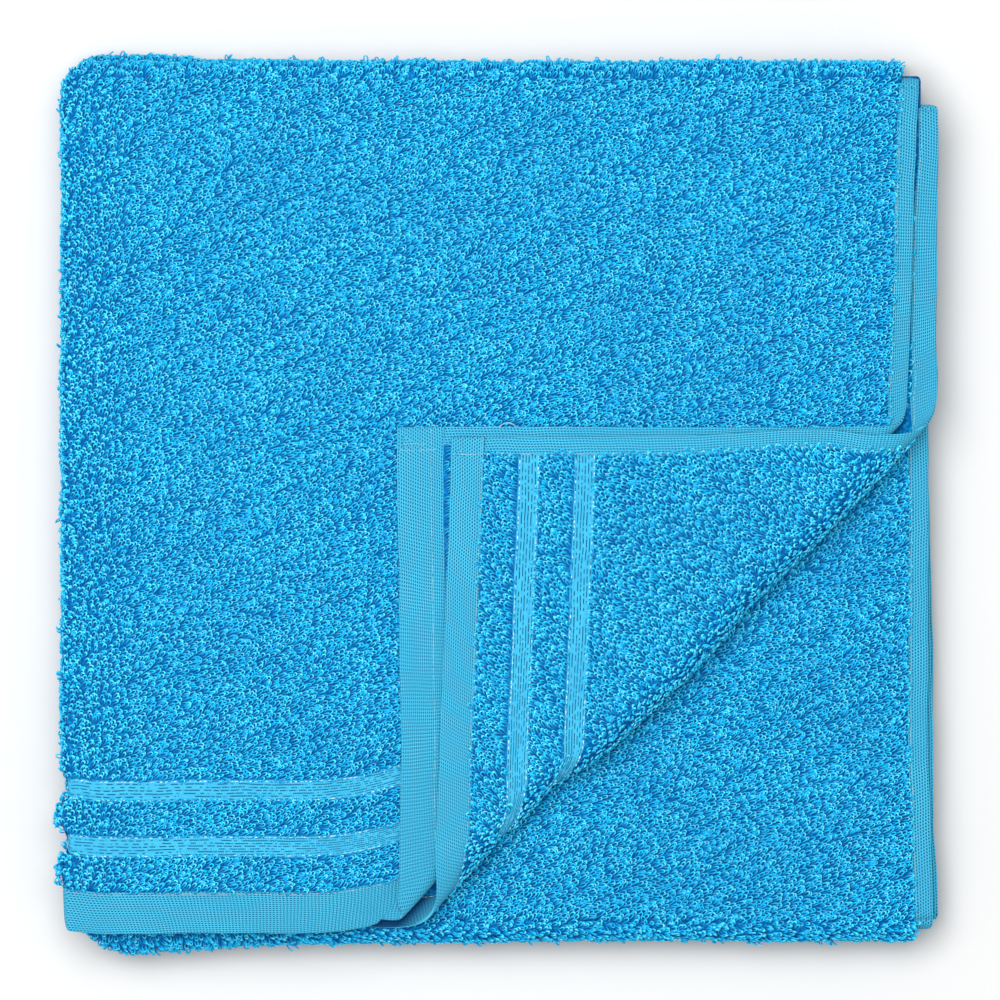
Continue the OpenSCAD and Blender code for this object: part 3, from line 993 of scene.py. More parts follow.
def panel_cloth(panel):
    """The two layers of a panel and the lengthwise fold between them, as one thin cloth."""
    v = np.linspace(0, 1, 64)[:, None]
    half_turn = np.linspace(0, math.pi, ARC_STEPS)
    lower = np.zeros(FLAT_STEPS)
    inwards = np.linspace(1, NEAR_FOLD, FLAT_STEPS)
    layer = np.concatenate([lower, (1 - np.cos(half_turn)) / 2, lower + 1])
    turn = np.concatenate([lower, half_turn, lower])
    flat = np.concatenate([inwards, np.zeros(ARC_STEPS), inwards[::-1]])
    if has_ends(panel):
        x_guess = X_CENTRE + flat * (-40 - X_CENTRE if panel == TOP else 300)
        starts = [end_edge(panel, k, x_guess) + END_HEM_W[k] - UNDER_HEM for k in (0, 1)]
        y0 = starts[0] * (1 - layer) + starts[1] * layer
    else:
        y0 = np.full(len(layer), Y_FRONT + ROLL_R)
    y = y0[None] + (Y_BACK - ROLL_R - y0[None]) * v
    ends = []
    for k in (0, 1):
        x_end = side_edge(panel, k, y) - SIDE_HEM_W + UNDER_HEM
        if panel == TOP:
            x_end = np.minimum(x_end, solve_x(y))
        ends.append(x_end)
    x_end = np.where(layer[None] < 0.5, ends[0], ends[1])
    centre = left_edge(panel, y)
    if panel == TOP:
        in_border = y < Y_FRONT + END_HEM_W[1] + 2.2 * (BAND_W + STRIPE_W)
        centre = centre + 2.2 * (1 - band_window(y)) * in_border
    x = centre + flat[None] * (x_end - centre) - (HALF_T - CLOTH_T) * np.sin(turn)[None]
    z = TERRY_Z[panel][1] + HALF_T * (2 * layer[None] - 1)
    piece = slab(f"{PANELS[panel]}_cloth", vectors(x, y, z), CLOTH_T)
    nodes = [f"{PANELS[panel]}_{part}" for part in ("upper_terry", "lower_terry", "side_fold")]
    if panel == BOTTOM:
        nodes += ["bottom_panel_upper_bands", "bottom_panel_lower_bands"]
    if panel == TOP:
        nodes += ["top_panel_upper_outer_band", "top_panel_upper_inner_band", "top_panel_lower_bands"]
    return finish_piece(piece, PANELS[panel], nodes)


def cross_fold_cloth(panel, name, inner):
    """The inner or the outer layer going round the fold above a panel, with its half of the round
    left end."""
    theta = np.linspace(-math.pi / 2, math.pi / 2, THETA_STEPS)[:, None]
    quarter_turn = np.linspace(0, math.pi / 2, ARC_STEPS)
    turn = np.concatenate([np.zeros(FLAT_STEPS), quarter_turn])
    if not inner:
        turn = math.pi - turn
    flat = np.concatenate([np.linspace(1, NEAR_FOLD, FLAT_STEPS), np.zeros(ARC_STEPS)])
    radius = MIDDLE_R - HALF_T * np.cos(turn)[None]
    x_end = cross_fold_x(panel, inner, theta) + UNDER_HEM
    centre = fold_left(panel, theta, radius)
    x = centre + flat[None] * (x_end - centre) - HALF_T * np.sin(turn)[None]
    grid = cross_fold_points(panel, x, theta, radius)
    side = "front" if fold_side(panel) == -1 else "back"
    nodes = [] if inner else [f"{PANELS[panel]}_{side}_fold", f"{PANELS[panel + 1]}_{side}_fold"]
    where = (panel, INNER_R) if inner else panel
    label = "inner" if inner else "outer"
    return finish_piece(slab(f"{name}_{label}_cloth", grid, CLOTH_T), where, nodes)


def flap_cloth(layer):
    """One layer of the turned-back corner, from its hems to the fold."""
    hem_w = END_HEM_W[1 - layer] - UNDER_HEM
    y_low = float(solve_flap_y(layer, hem_w + 1.5))
    y_high = FLAP_Y[layer] - SIDE_HEM_W + UNDER_HEM
    y = np.linspace(y_low, y_high, 60)[:, None]
    x0 = flap_left(layer, y) + hem_w
    x1 = np.maximum(solve_x(y), x0 + 1)
    x = x0 + (x1 - x0) * np.linspace(0, 1, 60)[None]
    slope = np.clip((x - x0) / (x1 - x0), 0, 1)
    top = flap_top(layer, x) - SIDE_HEM_W + UNDER_HEM
    y = y + (top - y_high) * np.clip((y - y_low) / (y_high - y_low), 0, 1) ** 8 * (1 - slope**6)
    label = FLAP_LAYERS[layer]
    piece = slab(f"corner_flap_{label}_cloth", vectors(x, y, TERRY_Z[FLAP][layer] + HALF_T), CLOTH_T)
    bands = ("edge_band", "field_band") if layer == 1 else ("hidden_bands",)
    nodes = [f"corner_flap_{part}" for part in (f"{label}_terry", *bands)]
    return finish_piece(piece, "corner_flap", nodes)


# x near which the top panel's end hem meets the corner fold
CORNER_X = -44


def strip_ends(source, d):
    """x + y where the line at distance d from the end edge leaves the flap and the panel. source is the
    top panel's layer that the line comes from."""
    y_flap = solve_flap_y(1 - source, d)
    x_flap = flap_left(1 - source, y_flap) + d
    y_panel = end_edge(TOP, source, CORNER_X) + d
    x_panel = solve_x(y_panel)
    return x_flap + y_flap, x_panel + y_panel


# The top panel's lower side hem spreads before it goes round the corner fold
HEM_SPREAD = (1.3, 1.0)


def side_strip_ends(source, b):
    """The same for the line at distance b from the side edge."""
    x_flap = solve_flap_x(1 - source, b)
    y_flap = flap_top(1 - source, x_flap) - b
    wide = b * HEM_SPREAD[source]
    y_panel = solve_side_y(source, wide)
    x_panel = side_edge(TOP, source, y_panel) - wide
    return x_flap + y_flap, x_panel + y_panel


def turn_share(theta):
    """How much of the corner fold's half turn is done: the cloth goes round it as a helix."""
    return theta / math.pi + 0.5


def corner_roll_s(source, theta, share):
    """x + y on the corner fold, at a share of the way from the end hem to the side hem."""
    end_top, end_low = strip_ends(source, END_HEM_W[source] - UNDER_HEM)
    side_top, side_low = side_strip_ends(source, SIDE_HEM_W - UNDER_HEM)
    first = end_low + (end_top - end_low) * turn_share(theta)
    last = side_low + (side_top - side_low) * turn_share(theta)
    return first + (last - first) * share


def corner_roll_cloth(source):
    """The outer (source 0) or inner (source 1) layer going round the corner fold."""
    theta = np.linspace(-math.pi / 2, math.pi / 2, THETA_STEPS)[:, None]
    s = corner_roll_s(source, theta, np.linspace(0, 1, 90)[None])
    radius = outer_roll(s) if source == 0 else inner_roll(s)
    z_top, z_low = TERRY_Z[FLAP][1 - source] + HALF_T, TERRY_Z[TOP][source] + HALF_T
    grid = roll_points(s, theta, radius, z_top, z_low)
    label = "outer" if source == 0 else "inner"
    piece = slab(f"corner_fold_{label}_cloth", grid, CLOTH_T)
    nodes = ["top_panel_corner_fold", "corner_flap_fold"] if source == 0 else []
    return finish_piece(piece, TOP if source == 0 else (TOP, INNER_R), nodes)


def corner_roll_pile():
    """Pile over the outside of the corner fold."""
    most = math.pi * (OUTER_R + 7.2)
    u, v = scatter(0, 330, -most / 2, most / 2, FINE["pitch"])
    guess = corner_roll_s(0, 0.0, 0.0) + u * ROOT2
    arc = math.pi * (outer_roll(guess) + 1)
    u, v, arc = (values[np.abs(v) < arc / 2] for values in (u, v, arc))
    theta = v / arc * math.pi
    first = corner_roll_s(0, theta, 0.0)
    last = corner_roll_s(0, theta, 1.0)
    s = first + u * ROOT2
    end_top, end_low = strip_ends(0, 0.0)
    d = (s - (end_low + (end_top - end_low) * turn_share(theta))) / 2
    masks = border_masks(d, END_HEM_W[0])
    keep = (s < last + 0.5) & (masks["outer_band"] | masks["inner_band"] | masks["field"])
    s, theta = s[keep], theta[keep]
    z_top, z_low = TERRY_Z[FLAP][1] + HALF_T, TERRY_Z[TOP][0] + HALF_T
    bases = roll_points(s, theta, outer_roll(s), z_top, z_low)
    c = np.cos(theta) / ROOT2
    normals = vectors(c, -c, np.sin(theta))
    t = -np.sin(theta) / ROOT2
    leans = vectors(t, -t, np.cos(theta))
    grow("corner_fold_pile", bases, normals, leans, FINE, TOP, upright=0.3, spread=0.6)


# ---------------------------------------- lines across the borders

# Points of a line along a straight stretch, round the corner fold and round the lengthwise fold
STRAIGHT_STEPS = 90
CORNER_STEPS = 25
BOTTOM_STEPS = 120
LEFT_TURN = np.linspace(0, math.pi, 15)[1:-1]
STRIP_POINTS = 2 * (2 * STRAIGHT_STEPS + CORNER_STEPS - 2) + len(LEFT_TURN)
# x of the lengthwise fold's centre line under the end hem and under the stripes
HEM_LEFT = X_CENTRE - 0.2
STRIPE_LEFT = X_CENTRE + 1.8


def level(panel, layer, depth):
    """Height of the middle of a flat strip: depth 0 at the free edge of a hem, 1 where it joins terry."""
    free = TERRY_Z[panel][layer] + HEM_T / 2
    return free + (HALF_T - HEM_T / 2) * depth


def round_left(start, stop, reach):
    """Points round the lengthwise fold, between the ends of a line's two layers."""
    points = start + (stop - start) * ((1 - np.cos(LEFT_TURN)) / 2)[:, None]
    points[:, 0] -= reach * np.sin(LEFT_TURN)
    return points


def strip_line(d, depth, over=0.0):
    """The line at distance d from the top panel's end edge, along the whole width of the towel: down
    the flap's outer layer, round the corner fold, along the lower layer, round the lengthwise fold,
    along the upper layer, round the corner fold again and up the flap's inner layer. depth says how
    high it lies, over how far from the side edge it starts."""
    parts = []
    t = np.linspace(0, 1, STRAIGHT_STEPS)
    theta = np.linspace(math.pi / 2, -math.pi / 2, CORNER_STEPS)
    for source in (0, 1):
        flap_layer = 1 - source
        y_fold = float(solve_flap_y(flap_layer, d))
        y_top = float(flap_top(flap_layer, flap_left(flap_layer, FLAP_Y[flap_layer]) + d)) - over
        y = y_top + (y_fold - y_top) * t
        up_flap = vectors(flap_left(flap_layer, y) + d, y, level(FLAP, flap_layer, depth))
        top_s, low_s = (float(v) for v in strip_ends(source, d))
        s = low_s + (top_s - low_s) * turn_share(theta)
        radius = outer_roll(s) if source == 0 else inner_roll(s)
        z_top, z_low = level(FLAP, flap_layer, depth), level(TOP, source, depth)
        round_corner = roll_points(s, theta, radius, z_top, z_low)
        x = float(solve_x(end_edge(TOP, source, CORNER_X) + d))
        x = x + ((STRIPE_LEFT if over else HEM_LEFT) - x) * t
        along = vectors(x, end_edge(TOP, source, x) + d, z_low)
        parts.append(np.concatenate([up_flap, round_corner[1:], along[1:]]))
    reach = HALF_T - (1 - depth) * 0.6
    return np.concatenate([parts[0], round_left(parts[0][-1], parts[1][-1], reach), parts[1][::-1]])


def bottom_strip_line(d, depth):
    """The line at distance d from the bottom panel's end edge, along both of its layers."""
    t = np.linspace(0, 1, BOTTOM_STEPS)
    left = float(left_edge(BOTTOM, -150))
    parts = []
    for layer in (0, 1):
        x_end = float(side_edge(BOTTOM, layer, END_Y[BOTTOM][layer] + d)) - 0.5
        x = x_end + (left - x_end) * t
        parts.append(vectors(x, end_edge(BOTTOM, layer, x) + d, level(BOTTOM, layer, depth)))
    return np.concatenate([parts[0], round_left(parts[0][-1], parts[1][-1], HALF_T), parts[1][::-1]])


def past_middle(count):
    """0 on a line's lower layer and 1 on its upper one, changing round the lengthwise fold."""
    return np.clip((np.arange(count) - count // 2 + 7) / 14, 0, 1)[:, None]


def past_last_turn(count):
    """0 along a line until it goes round the corner fold again, 1 on the flap's inner layer."""
    return np.clip((np.arange(count) - count + 105) / 30, 0, 1)[:, None]


# ---------------------------------------- threads

SEAM_STITCH = {"pitch": 2.6, "length": 2.4, "radius": 0.11, "lift": HEM_T / 2 + 0.02}
SEAM_STITCH.update(material=SEAM, slot="seam_thread")
STRIPE_YARN = {"pitch": 2.0, "length": 1.5, "radius": 0.27, "lift": HEM_T / 2 - 0.02}
STRIPE_YARN.update(material=TWINKLE, slot="woven_stripe")
# A stitch's shape at its five rings: place along it, rise above its lift and thickness
STITCH_PLACES = np.array([-0.5, -0.36, 0, 0.36, 0.5])
STITCH_ARCH = np.array([-0.9, 0.3, 0.6, 0.3, -0.9])
STITCH_SIZES = np.array([0.55, 1.0, 1.1, 1.0, 0.55])
STITCH_RINGS = len(STITCH_PLACES)
STITCH_SIDES = 5


def stitches(name, line, across, kind, where, nodes=(), missing=0.0):
    """Short threads along a line (K, 3), on both faces; across points over the strip's width and
    missing is the share that is left out."""
    at = way_along(line)
    pitch, length, radius = kind["pitch"], kind["length"], kind["radius"]
    centre = np.arange(pitch / 2, at[-1] - pitch / 3, pitch)
    centre = centre[draws.uniform(0, 1, len(centre)) > missing]
    centre = centre + draws.uniform(-0.2, 0.2, len(centre)) * pitch

    def along(where_at, data):
        return np.stack([np.interp(where_at, at, data[:, k]) for k in range(3)], -1)

    offsets = STITCH_PLACES * length
    places = centre[:, None] + offsets[None] * draws.uniform(0.6, 1.2, (len(centre), 1))
    points = np.stack([along(places[:, k], line) for k in range(STITCH_RINGS)], 1)
    tangent = unit(along(centre + 0.4, line) - along(centre - 0.4, line))
    up = unit(np.cross(tangent, along(centre, across)))
    rise = up[:, None] * (kind["lift"] + STITCH_ARCH * radius)[None, :, None]
    centres = np.concatenate([points + rise, points - rise])
    sizes = np.tile(radius * STITCH_SIZES, (len(centres), 1))
    plane = np.concatenate([np.cross(up, tangent)] * 2)
    tube = tube_points(centres, plane, sizes, STITCH_SIDES).reshape(-1, 3)
    quads = ring_quads(len(centres), STITCH_RINGS, STITCH_SIDES)
    caps = tube_caps(len(centres), STITCH_RINGS, STITCH_SIDES)
    finish_piece(new_piece(name, tube, quads, kind["material"], caps=caps), where, nodes)


# ---------------------------------------- build: camera and stage

WORLD_LIGHT = 0.70
FLOOR_HALF = 6.0
FLOOR_COLOR = (0.66, 0.66, 0.66)
# The floor's paper varies between this and FLOOR_COLOR
FLOOR_COOL = (0.655, 0.66, 0.66)
LIGHT_PLACE = (-0.24, 0.26, 1.5)
LIGHT_SIZE = 1.1
LIGHT_POWER = 26.5
LENS = 250
# Width of the picture and height of the camera's aim, in metres, and its small shift in y
VIEW_WIDTH = 0.400
VIEW_HEIGHT = TOP_Z * MM * 0.85
VIEW_Y = 0.0008


def build_stage():
    scene = bpy.context.scene
    scene.view_settings.view_transform = "Standard"
    world = bpy.data.worlds.new("studio")
    world.use_nodes = True
    background = world.node_tree.nodes["Background"]
    background.inputs["Color"].default_value = (*WHITE, 1)
    background.inputs["Strength"].default_value = WORLD_LIGHT
    scene.world = world
    corners = np.array([[-1, -1, 0], [1, -1, 0], [1, 1, 0], [-1, 1, 0]])
    floor_material, tree, shader = node_material("white_floor", FLOOR_COLOR, 0.9, 0.0)
    paper = add_node(tree, "ShaderNodeTexNoise", Scale=3.0, Detail=2.0)
    set_color(tree, shader, mix_colors(tree, paper.outputs["Fac"], FLOOR_COOL, FLOOR_COLOR))
    floor = new_piece("floor", corners * FLOOR_HALF / MM, np.array([[0, 1, 2, 3]]), floor_material)
    light = bpy.data.lights.new("key_light", "AREA")
    light.size = LIGHT_SIZE
    light.energy = LIGHT_POWER
    lamp = bpy.data.objects.new("key_light", light)
    lamp.location = LIGHT_PLACE
    lamp.rotation_mode = "QUATERNION"
    lamp.rotation_quaternion = (-Vector(LIGHT_PLACE)).to_track_quat("-Z", "Y")
    scene.collection.objects.link(lamp)
    camera = bpy.data.cameras.new("camera")
    camera.lens = LENS
    camera.clip_end = 20
    view = bpy.data.objects.new("camera", camera)
    view.location = (0, VIEW_Y, VIEW_HEIGHT + VIEW_WIDTH * LENS / camera.sensor_width)
    scene.collection.objects.link(view)
    scene.camera = view


build_stage()

# ---------------------------------------- build: cloth

FOLD_NAMES = ["lower_back_fold", "front_fold", "upper_back_fold"]
CROSS_FOLDS = (BOTTOM, LOWER, MIDDLE)
panel_cloths = [panel_cloth(panel) for panel in (BOTTOM, LOWER, MIDDLE, TOP)]
outer_fold_cloths = [cross_fold_cloth(panel, FOLD_NAMES[panel], False) for panel in CROSS_FOLDS]
inner_fold_cloths = [cross_fold_cloth(panel, FOLD_NAMES[panel], True) for panel in CROSS_FOLDS]
corner_cloths = [corner_roll_cloth(0), corner_roll_cloth(1)]
flap_cloths = [flap_cloth(0), flap_cloth(1)]

# ---------------------------------------- build: pile

# Ways the loops lean in plan
TOWARDS_HEMS = math.radians(30)
AWAY = math.radians(150)
FLAP_WAY = math.radians(140)

panel_pile("top_panel_upper", TOP, 1, 1, FINE, TOWARDS_HEMS, beside_flap)
panel_pile("top_panel_under_flap", TOP, 1, 1, COARSE, TOWARDS_HEMS, under_flap)
panel_pile("top_panel_underside", TOP, 0, -1, COARSE, AWAY, anywhere)
panel_pile("exposed_corner", MIDDLE, 1, 1, FINE, TOWARDS_HEMS, exposed_corner)
panel_pile("middle_panel_upper", MIDDLE, 1, 1, COARSE, TOWARDS_HEMS, covered_part)
panel_pile("middle_panel_underside", MIDDLE, 0, -1, COARSE, AWAY, anywhere)
for panel in (LOWER, BOTTOM):
    panel_pile(f"{PANELS[panel]}_upper", panel, 1, 1, COARSE, TOWARDS_HEMS, anywhere)
    panel_pile(f"{PANELS[panel]}_underside", panel, 0, -1, COARSE, AWAY, anywhere)
flap_pile("corner_flap_outer", 1, 1, FINE, FLAP_WAY, anywhere)
flap_pile("corner_flap_underside", 0, -1, COARSE, math.radians(45), anywhere)
for panel in (BOTTOM, LOWER, MIDDLE, TOP):
    side_roll_pile(panel)
for panel in CROSS_FOLDS:
    cross_fold_pile(panel, FOLD_NAMES[panel])
corner_roll_pile()
for panel in (BOTTOM, LOWER, MIDDLE, TOP):
    panel_pile(f"{PANELS[panel]}_inside_upper", panel, 1, -1, COARSE, AWAY, near_edges(panel, 1))
    panel_pile(f"{PANELS[panel]}_inside_lower", panel, 0, 1, COARSE, TOWARDS_HEMS, near_edges(panel, 0))
flap_pile("corner_flap_inside", 0, 1, FINE, math.radians(25), hem_gap)
for panel in (BOTTOM, LOWER):
    cross_fold_inside_pile(panel, FOLD_NAMES[panel])

# ---------------------------------------- build: end borders

HEM_PROFILE = flat_profile(HEM_T)
STRIPE_PROFILE = ribbed_profile(HEM_T)


def from_far_end(part):
    """The same stretch of a strip, counted from its other end."""
    return slice(STRIP_POINTS - part.stop, STRIP_POINTS - part.start)


def in_turn(*counts):
    """Stretches with so many points each, where neighbours share a point."""
    starts = np.concatenate([[0], np.cumsum(np.array(counts) - 1)])
    return [slice(int(start), int(start) + count) for start, count in zip(starts, counts)]


# The five stretches of a strip across the top panel's end, between the places where it meets the
# corner fold, and what each rides on
ON_FLAP, ON_CORNER = in_turn(STRAIGHT_STEPS, CORNER_STEPS)
STRETCHES = {
    "flap_outer": (ON_FLAP, "corner_flap"),
    "outer_turn": (ON_CORNER, TOP),
    "panel": (slice(ON_CORNER.stop - 1, STRIP_POINTS - ON_CORNER.stop + 1), "top_panel"),
    "inner_turn": (from_far_end(ON_CORNER), (TOP, INNER_R)),
    "flap_inner": (from_far_end(ON_FLAP), "corner_flap"),
}
# The middle of the outer and of the inner layer's turn round the corner fold
OUTER_TIP = ON_CORNER.start + CORNER_STEPS // 2
INNER_TIP = STRIP_POINTS - 1 - OUTER_TIP


def strip_pieces(name, first, second, material, profile, nodes, shade=None):
    """A strip across the top panel's end border, one piece for each stretch. nodes says which nodes
    each stretch replaces."""
    for label, (part, where) in STRETCHES.items():
        piece = ribbon(f"{name}_{label}", first, second, material, profile, part, shade)
        finish_piece(piece, where, nodes.get(label, ()))


def tip_shade(points):
    """Deep shade on the inside of the outer layer's hem, where it turns under at the flap's lower tip."""
    stretch = np.arange(len(points))
    turned_under = np.interp(stretch - OUTER_TIP, (0, 8, 21, 49), (0.0, 1.0, 1.0, 0.0))
    centre = points.mean(axis=1, keepdims=True)
    theta = np.interp(stretch, (ON_CORNER.start, ON_CORNER.stop - 1), (math.pi / 2, -math.pi / 2))
    c = np.cos(theta) / ROOT2
    outward = vectors(c, -c, np.sin(theta))[:, None]
    inside = ((points - centre) * outward).sum(-1) < 0.1
    return inside * turned_under[:, None]


def border_line(k):
    """The strip line at a border's k-th division from the end: 0 the hem's inner side, then band and
    stripe edges in turn. The two layers' hems differ in width, so each half has its own distance."""
    offset = BORDER_OFFSETS[k]
    over = SIDE_HEM_W - 0.8 if k else 0.0
    narrow = strip_line(END_HEM_W[0] + offset, 1.0, over)
    wide = strip_line(END_HEM_W[1] + offset, 1.0, over)
    widest = strip_line(END_HEM_W[1] + offset + (0 if k else FLAP_HEM_EXTRA), 1.0, over)
    wide = wide + (widest - wide) * past_last_turn(STRIP_POINTS)
    mix = past_middle(STRIP_POINTS)
    return narrow * (1 - mix) + wide * mix


def bottom_border_line(k):
    """The same on the bottom panel."""
    narrow = bottom_strip_line(END_HEM_W[0] + BORDER_OFFSETS[k], 1.0)
    wide = bottom_strip_line(END_HEM_W[1] + BORDER_OFFSETS[k], 1.0)
    mix = past_middle(len(narrow))
    return narrow * (1 - mix) + wide * mix


lines = [border_line(k) for k in range(len(BORDER_OFFSETS))]
# The lower tip of the inner layer's hem is rounded off
edge_line = strip_line(0.0, 0.0)
edge_at = way_along(edge_line)
rounding = 0.07 * np.exp(-(((edge_at - edge_at[INNER_TIP]) / 9) ** 2))
edge_line = edge_line + (lines[0] - edge_line) * rounding[:, None]
strip_pieces("top_end_hem", edge_line, lines[0], HEM, HEM_PROFILE, {
    "flap_outer": ["corner_flap_outer_end_hem"],
    "panel": ["top_panel_upper_end_hem", "top_panel_lower_end_hem"],
    "flap_inner": ["corner_flap_inner_end_hem"],
}, tip_shade)
strip_pieces("top_outer_stripe", lines[1], lines[2], STRIPE, STRIPE_PROFILE, {
    "flap_outer": ["corner_flap_edge_stripe"],
    "panel": ["top_panel_upper_outer_stripe", "top_panel_lower_stripes"],
    "flap_inner": ["corner_flap_hidden_stripes"],
})
strip_pieces("top_inner_stripe", lines[3], lines[4], STRIPE, STRIPE_PROFILE, {
    "flap_outer": ["corner_flap_field_stripe"],
    "panel": ["top_panel_upper_inner_stripe"],
})

bottom_lines = [bottom_border_line(k) for k in range(len(BORDER_OFFSETS))]
bottom_edge = bottom_strip_line(0.0, 0.0)
bottom_hem = ribbon("bottom_end_hem", bottom_edge, bottom_lines[0], HEM, HEM_PROFILE)
hem_nodes = [f"bottom_panel_{layer}_end_hem" for layer in LAYERS]
finish_piece(bottom_hem, "bottom_panel", hem_nodes)
for k, label, layer in ((1, "outer", "upper"), (3, "inner", "lower")):
    stripe = ribbon(f"bottom_{label}_stripe", bottom_lines[k], bottom_lines[k + 1], STRIPE, STRIPE_PROFILE)
    finish_piece(stripe, "bottom_panel", [f"bottom_panel_{layer}_stripes"])

# Pale twisted yarns along both edges of each stripe
for name, first, second, stretches in (
    ("top_outer_stripe", lines[1], lines[2], STRETCHES),
    ("top_inner_stripe", lines[3], lines[4], STRETCHES),
    ("bottom_outer_stripe", bottom_lines[1], bottom_lines[2], {"panel": (WHOLE, "bottom_panel")}),
    ("bottom_inner_stripe", bottom_lines[3], bottom_lines[4], {"panel": (WHOLE, "bottom_panel")}),
):
    across = second - first
    for label, share, missing in (("near", 0.09, 0.4), ("far", 0.91, 0.25)):
        line = first + across * share
        for stretch, (part, where) in stretches.items():
            yarn_name = f"{name}_{label}_yarn_{stretch}"
            stitches(yarn_name, line[part], across[part], STRIPE_YARN, where, missing=missing)

# ---------------------------------------- build: side hems

# y where the outer and the inner layer's side hem turns over above each panel, and how tightly
HEM_TURN = {
    BOTTOM: ((168.5, 3.6), (163.0, 1.6)),
    LOWER: ((-171.3, 3.6), (-167.6, 1.6)),
    MIDDLE: ((169.6, 3.6), (158.8, 1.6)),
}
# The straight lead that a turned hem's line has at each end, and the turn without its leads
HEM_LEAD = 4
LEAD_STEPS = 4
TURN_ONLY = slice(LEAD_STEPS - 1, 1 - LEAD_STEPS)
HEM_STEPS = 110
TOP_HEM_STEPS = 70
# From the side edge to its seam, and to a line beside it that shows the seam which way is outwards
SEAM_IN = SIDE_HEM_W - 0.9
SEAM_ACROSS = 2


def side_hem_line(panel, layer, b, y_from, y_to, count):
    """The line at distance b from a panel's side edge."""
    y = np.linspace(y_from, y_to, count)
    return vectors(side_edge(panel, layer, y) - b, y, level(panel, layer, b / SIDE_HEM_W))


def hem_stop(fold, inner):
    """y where a side hem starts to turn round the cross fold above panel number fold."""
    edge, radius = HEM_TURN[fold][1 if inner else 0]
    return edge - fold_side(fold) * radius


def hem_turn_line(panel, inner, b):
    """The line at distance b from the side edge, round the cross fold above a panel, with a short
    lead at each end."""
    _, radius = HEM_TURN[panel][1 if inner else 0]
    side = fold_side(panel)
    centre = hem_stop(panel, inner)
    below, above = (1, 0) if inner else (0, 1)
    start = side_hem_line(panel, below, b, centre - HEM_LEAD * side, centre, LEAD_STEPS)
    stop = side_hem_line(panel + 1, above, b, centre, centre - HEM_LEAD * side, LEAD_STEPS)
    theta = np.linspace(-math.pi / 2, math.pi / 2, THETA_STEPS)[1:-1]
    x = start[-1, 0] + (stop[0, 0] - start[-1, 0]) * (np.sin(theta) + 1) / 2
    y = centre + side * radius * np.cos(theta)
    z = (start[-1, 2] + stop[0, 2]) / 2 + (stop[0, 2] - start[-1, 2]) / 2 * np.sin(theta)
    return np.concatenate([start, vectors(x, y, z), stop])


def hem_reach(panel, layer):
    """The y where the side hem of a panel's layer starts and stops."""
    back_or_front = hem_stop(panel, layer == 1)
    if panel == BOTTOM:
        other = float(end_edge(BOTTOM, layer, SIDE_X[BOTTOM][layer])) + 3
    else:
        other = hem_stop(panel - 1, layer == 0)
    return min(back_or_front, other), max(back_or_front, other)


def panel_hem_line(panel, layer, b):
    """The line at distance b from the side edge, along the whole hem of a panel's layer."""
    return side_hem_line(panel, layer, b, *hem_reach(panel, layer), HEM_STEPS)


for panel in CROSS_FOLDS:
    for layer in (0, 1):
        name = f"{PANELS[panel]}_{LAYERS[layer]}_side_hem"
        first, second = panel_hem_line(panel, layer, 0), panel_hem_line(panel, layer, SIDE_HEM_W)
        piece = ribbon(name, first, second, SIDE_HEM, HEM_PROFILE)
        finish_piece(piece, PANELS[panel], [name])
for panel in CROSS_FOLDS:
    for inner, label in ((False, "outer"), (True, "inner")):
        name = f"{FOLD_NAMES[panel]}_{label}_side_hem"
        first, second = hem_turn_line(panel, inner, 0), hem_turn_line(panel, inner, SIDE_HEM_W)
        piece = ribbon(name, first, second, SIDE_HEM, HEM_PROFILE, TURN_ONLY)
        finish_piece(piece, (panel, INNER_R) if inner else panel)


def corner_hem_line(source, b):
    """The line at distance b from the top panel's side edge: from the back, round the corner fold
    and along the flap to its end edge."""
    flap_layer = 1 - source
    depth = b / SIDE_HEM_W
    wide = b * HEM_SPREAD[source]
    y_fold = float(solve_side_y(source, wide))
    y_start = hem_stop(MIDDLE, source == 0)
    down = side_hem_line(TOP, source, wide, y_start, y_fold, TOP_HEM_STEPS)
    down[:, 0] += (wide - b) * eased(down[:, 1], (100, 146), (0.0, 1.0))
    z_top, z_low = level(FLAP, flap_layer, depth), level(TOP, source, depth)
    down[:, 2] = z_low
    top_s, low_s = (float(v) for v in side_strip_ends(source, b))
    theta = np.linspace(-math.pi / 2, math.pi / 2, CORNER_STEPS)
    s = low_s + (top_s - low_s) * turn_share(theta)
    radius = outer_roll(s) + 0.4 if source == 0 else inner_roll(s)
    corner = roll_points(s, theta, radius, z_top, z_low)
    x_fold = float(solve_flap_x(flap_layer, b))
    x_end = float(flap_left(flap_layer, FLAP_Y[flap_layer])) + 2
    x = np.linspace(x_fold, x_end, HEM_STEPS)
    hem_side = x_end + END_HEM_W[source]
    z = z_top - eased(x, (x_end, hem_side, hem_side + 6), (0.5, 0.4, 0.0))
    back = vectors(x, flap_top(flap_layer, x) - b, z)
    return np.concatenate([down, corner[1:], back[1:]])


# The three stretches of a top side hem
HEM_STRETCHES = dict(zip(("panel", "turn", "flap"), in_turn(TOP_HEM_STEPS, CORNER_STEPS, HEM_STEPS)))


def hem_bodies(source):
    """What each stretch of a top side hem rides on."""
    return {"panel": "top_panel", "turn": (TOP, INNER_R) if source else TOP, "flap": "corner_flap"}


for source, label in ((1, "upper"), (0, "lower")):
    first, second = corner_hem_line(source, 0), corner_hem_line(source, SIDE_HEM_W)
    hem_nodes = {
        "panel": [f"top_panel_{label}_side_hem"],
        "turn": [],
        "flap": [f"corner_flap_{FLAP_LAYERS[1 - source]}_side_hem"],
    }
    for stretch, part in HEM_STRETCHES.items():
        piece = ribbon(f"top_{label}_side_hem_{stretch}", first, second, SIDE_HEM, HEM_PROFILE, part)
        finish_piece(piece, hem_bodies(source)[stretch], hem_nodes[stretch])

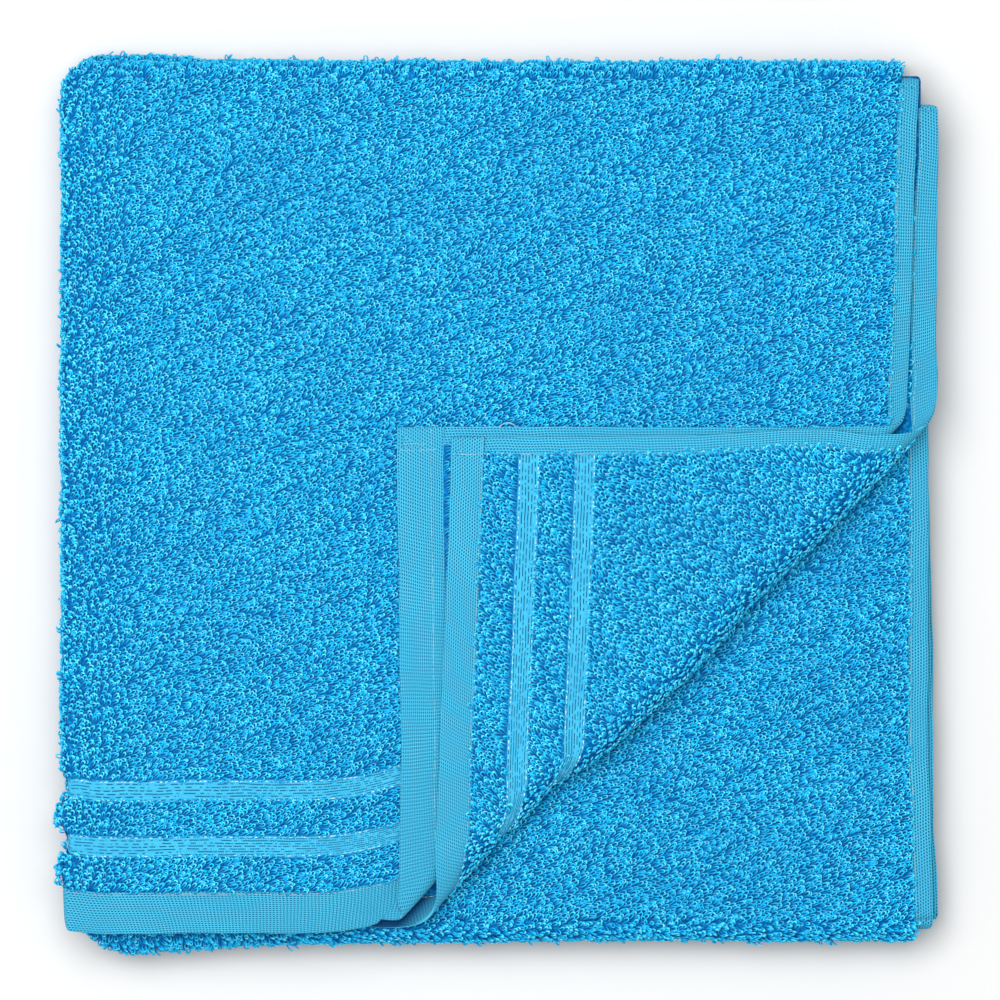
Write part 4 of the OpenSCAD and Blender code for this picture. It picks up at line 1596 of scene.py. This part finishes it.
# ---------------------------------------- build: seam threads

def seam(name, line, other, where, nodes=()):
    """A row of stitches along a line; other is a line beside it on the same strip."""
    stitches(name, line, other - line, SEAM_STITCH, where, nodes)


# Where an end hem's seam lies, as a share of the hem's width
END_SEAM_SHARE = 0.93

for source, label in ((1, "upper"), (0, "lower")):
    line, other = corner_hem_line(source, SEAM_IN), corner_hem_line(source, SEAM_ACROSS)
    seam_nodes = {"panel": ["top_panel_stitching"], "flap": ["corner_flap_stitching"]} if source else {}
    for stretch, part in HEM_STRETCHES.items():
        name = f"top_{label}_side_seam_{stretch}"
        seam(name, line[part], other[part], hem_bodies(source)[stretch], seam_nodes.get(stretch, ()))
seam_share = END_SEAM_SHARE - 0.2 * past_last_turn(STRIP_POINTS)
end_seam_line = edge_line + (lines[0] - edge_line) * seam_share
for stretch, (part, where) in STRETCHES.items():
    seam(f"top_end_seam_{stretch}", end_seam_line[part], edge_line[part], where)


def corner_seam(layer, label, below):
    """The seam across an end hem at the corner, at a distance below the flap's side edge."""
    width = END_HEM_W[1 - layer] + (FLAP_HEM_EXTRA if layer == 0 else 0)
    share = np.linspace(0.03, 0.97, 24)
    y = float(flap_top(layer, FLAP_X[layer])) - below
    x = flap_left(layer, y) + share * width
    line = vectors(x, y + 0.25 * wavy(x * 3, 51), level(FLAP, layer, share))
    seam(f"corner_flap_{label}_corner_seam", line, line + np.array([0.0, 1.0, 0.0]), "corner_flap")


def loose_thread():
    """A loose end of thread that stands up at the flap's side edge."""
    start_x, length, radius = -0.4, 7.0, 0.24
    rings, sides = 14, 6
    turn = np.linspace(0, 1, rings)
    arch = np.sin(math.pi * turn)
    y = flap_top(0, start_x) - 0.6 + 2.2 * arch**0.6
    line = vectors(start_x + length * turn, y, level(FLAP, 0, 0.0) + 0.3 + 1.2 * arch)
    tube = tube_points(line[None], np.array([[0.0, 0.0, 1.0]]), np.full((1, rings), radius), sides)
    quads, caps = ring_quads(1, rings, sides), tube_caps(1, rings, sides)
    piece = new_piece("loose_thread", tube.reshape(-1, 3), quads, SEAM, caps=caps)
    finish_piece(piece, "corner_flap")


corner_seam(0, "inner", 9.2)
corner_seam(1, "outer", 6.7)
loose_thread()
bottom_seam_line = bottom_edge + (bottom_lines[0] - bottom_edge) * END_SEAM_SHARE
seam("bottom_end_seam", bottom_seam_line, bottom_edge, "bottom_panel")
for panel in CROSS_FOLDS:
    for layer in (0, 1):
        line, other = panel_hem_line(panel, layer, SEAM_IN), panel_hem_line(panel, layer, SEAM_ACROSS)
        nodes = [f"{PANELS[panel]}_stitching"] if layer == 1 else []
        seam(f"{PANELS[panel]}_{LAYERS[layer]}_side_seam", line, other, PANELS[panel], nodes)
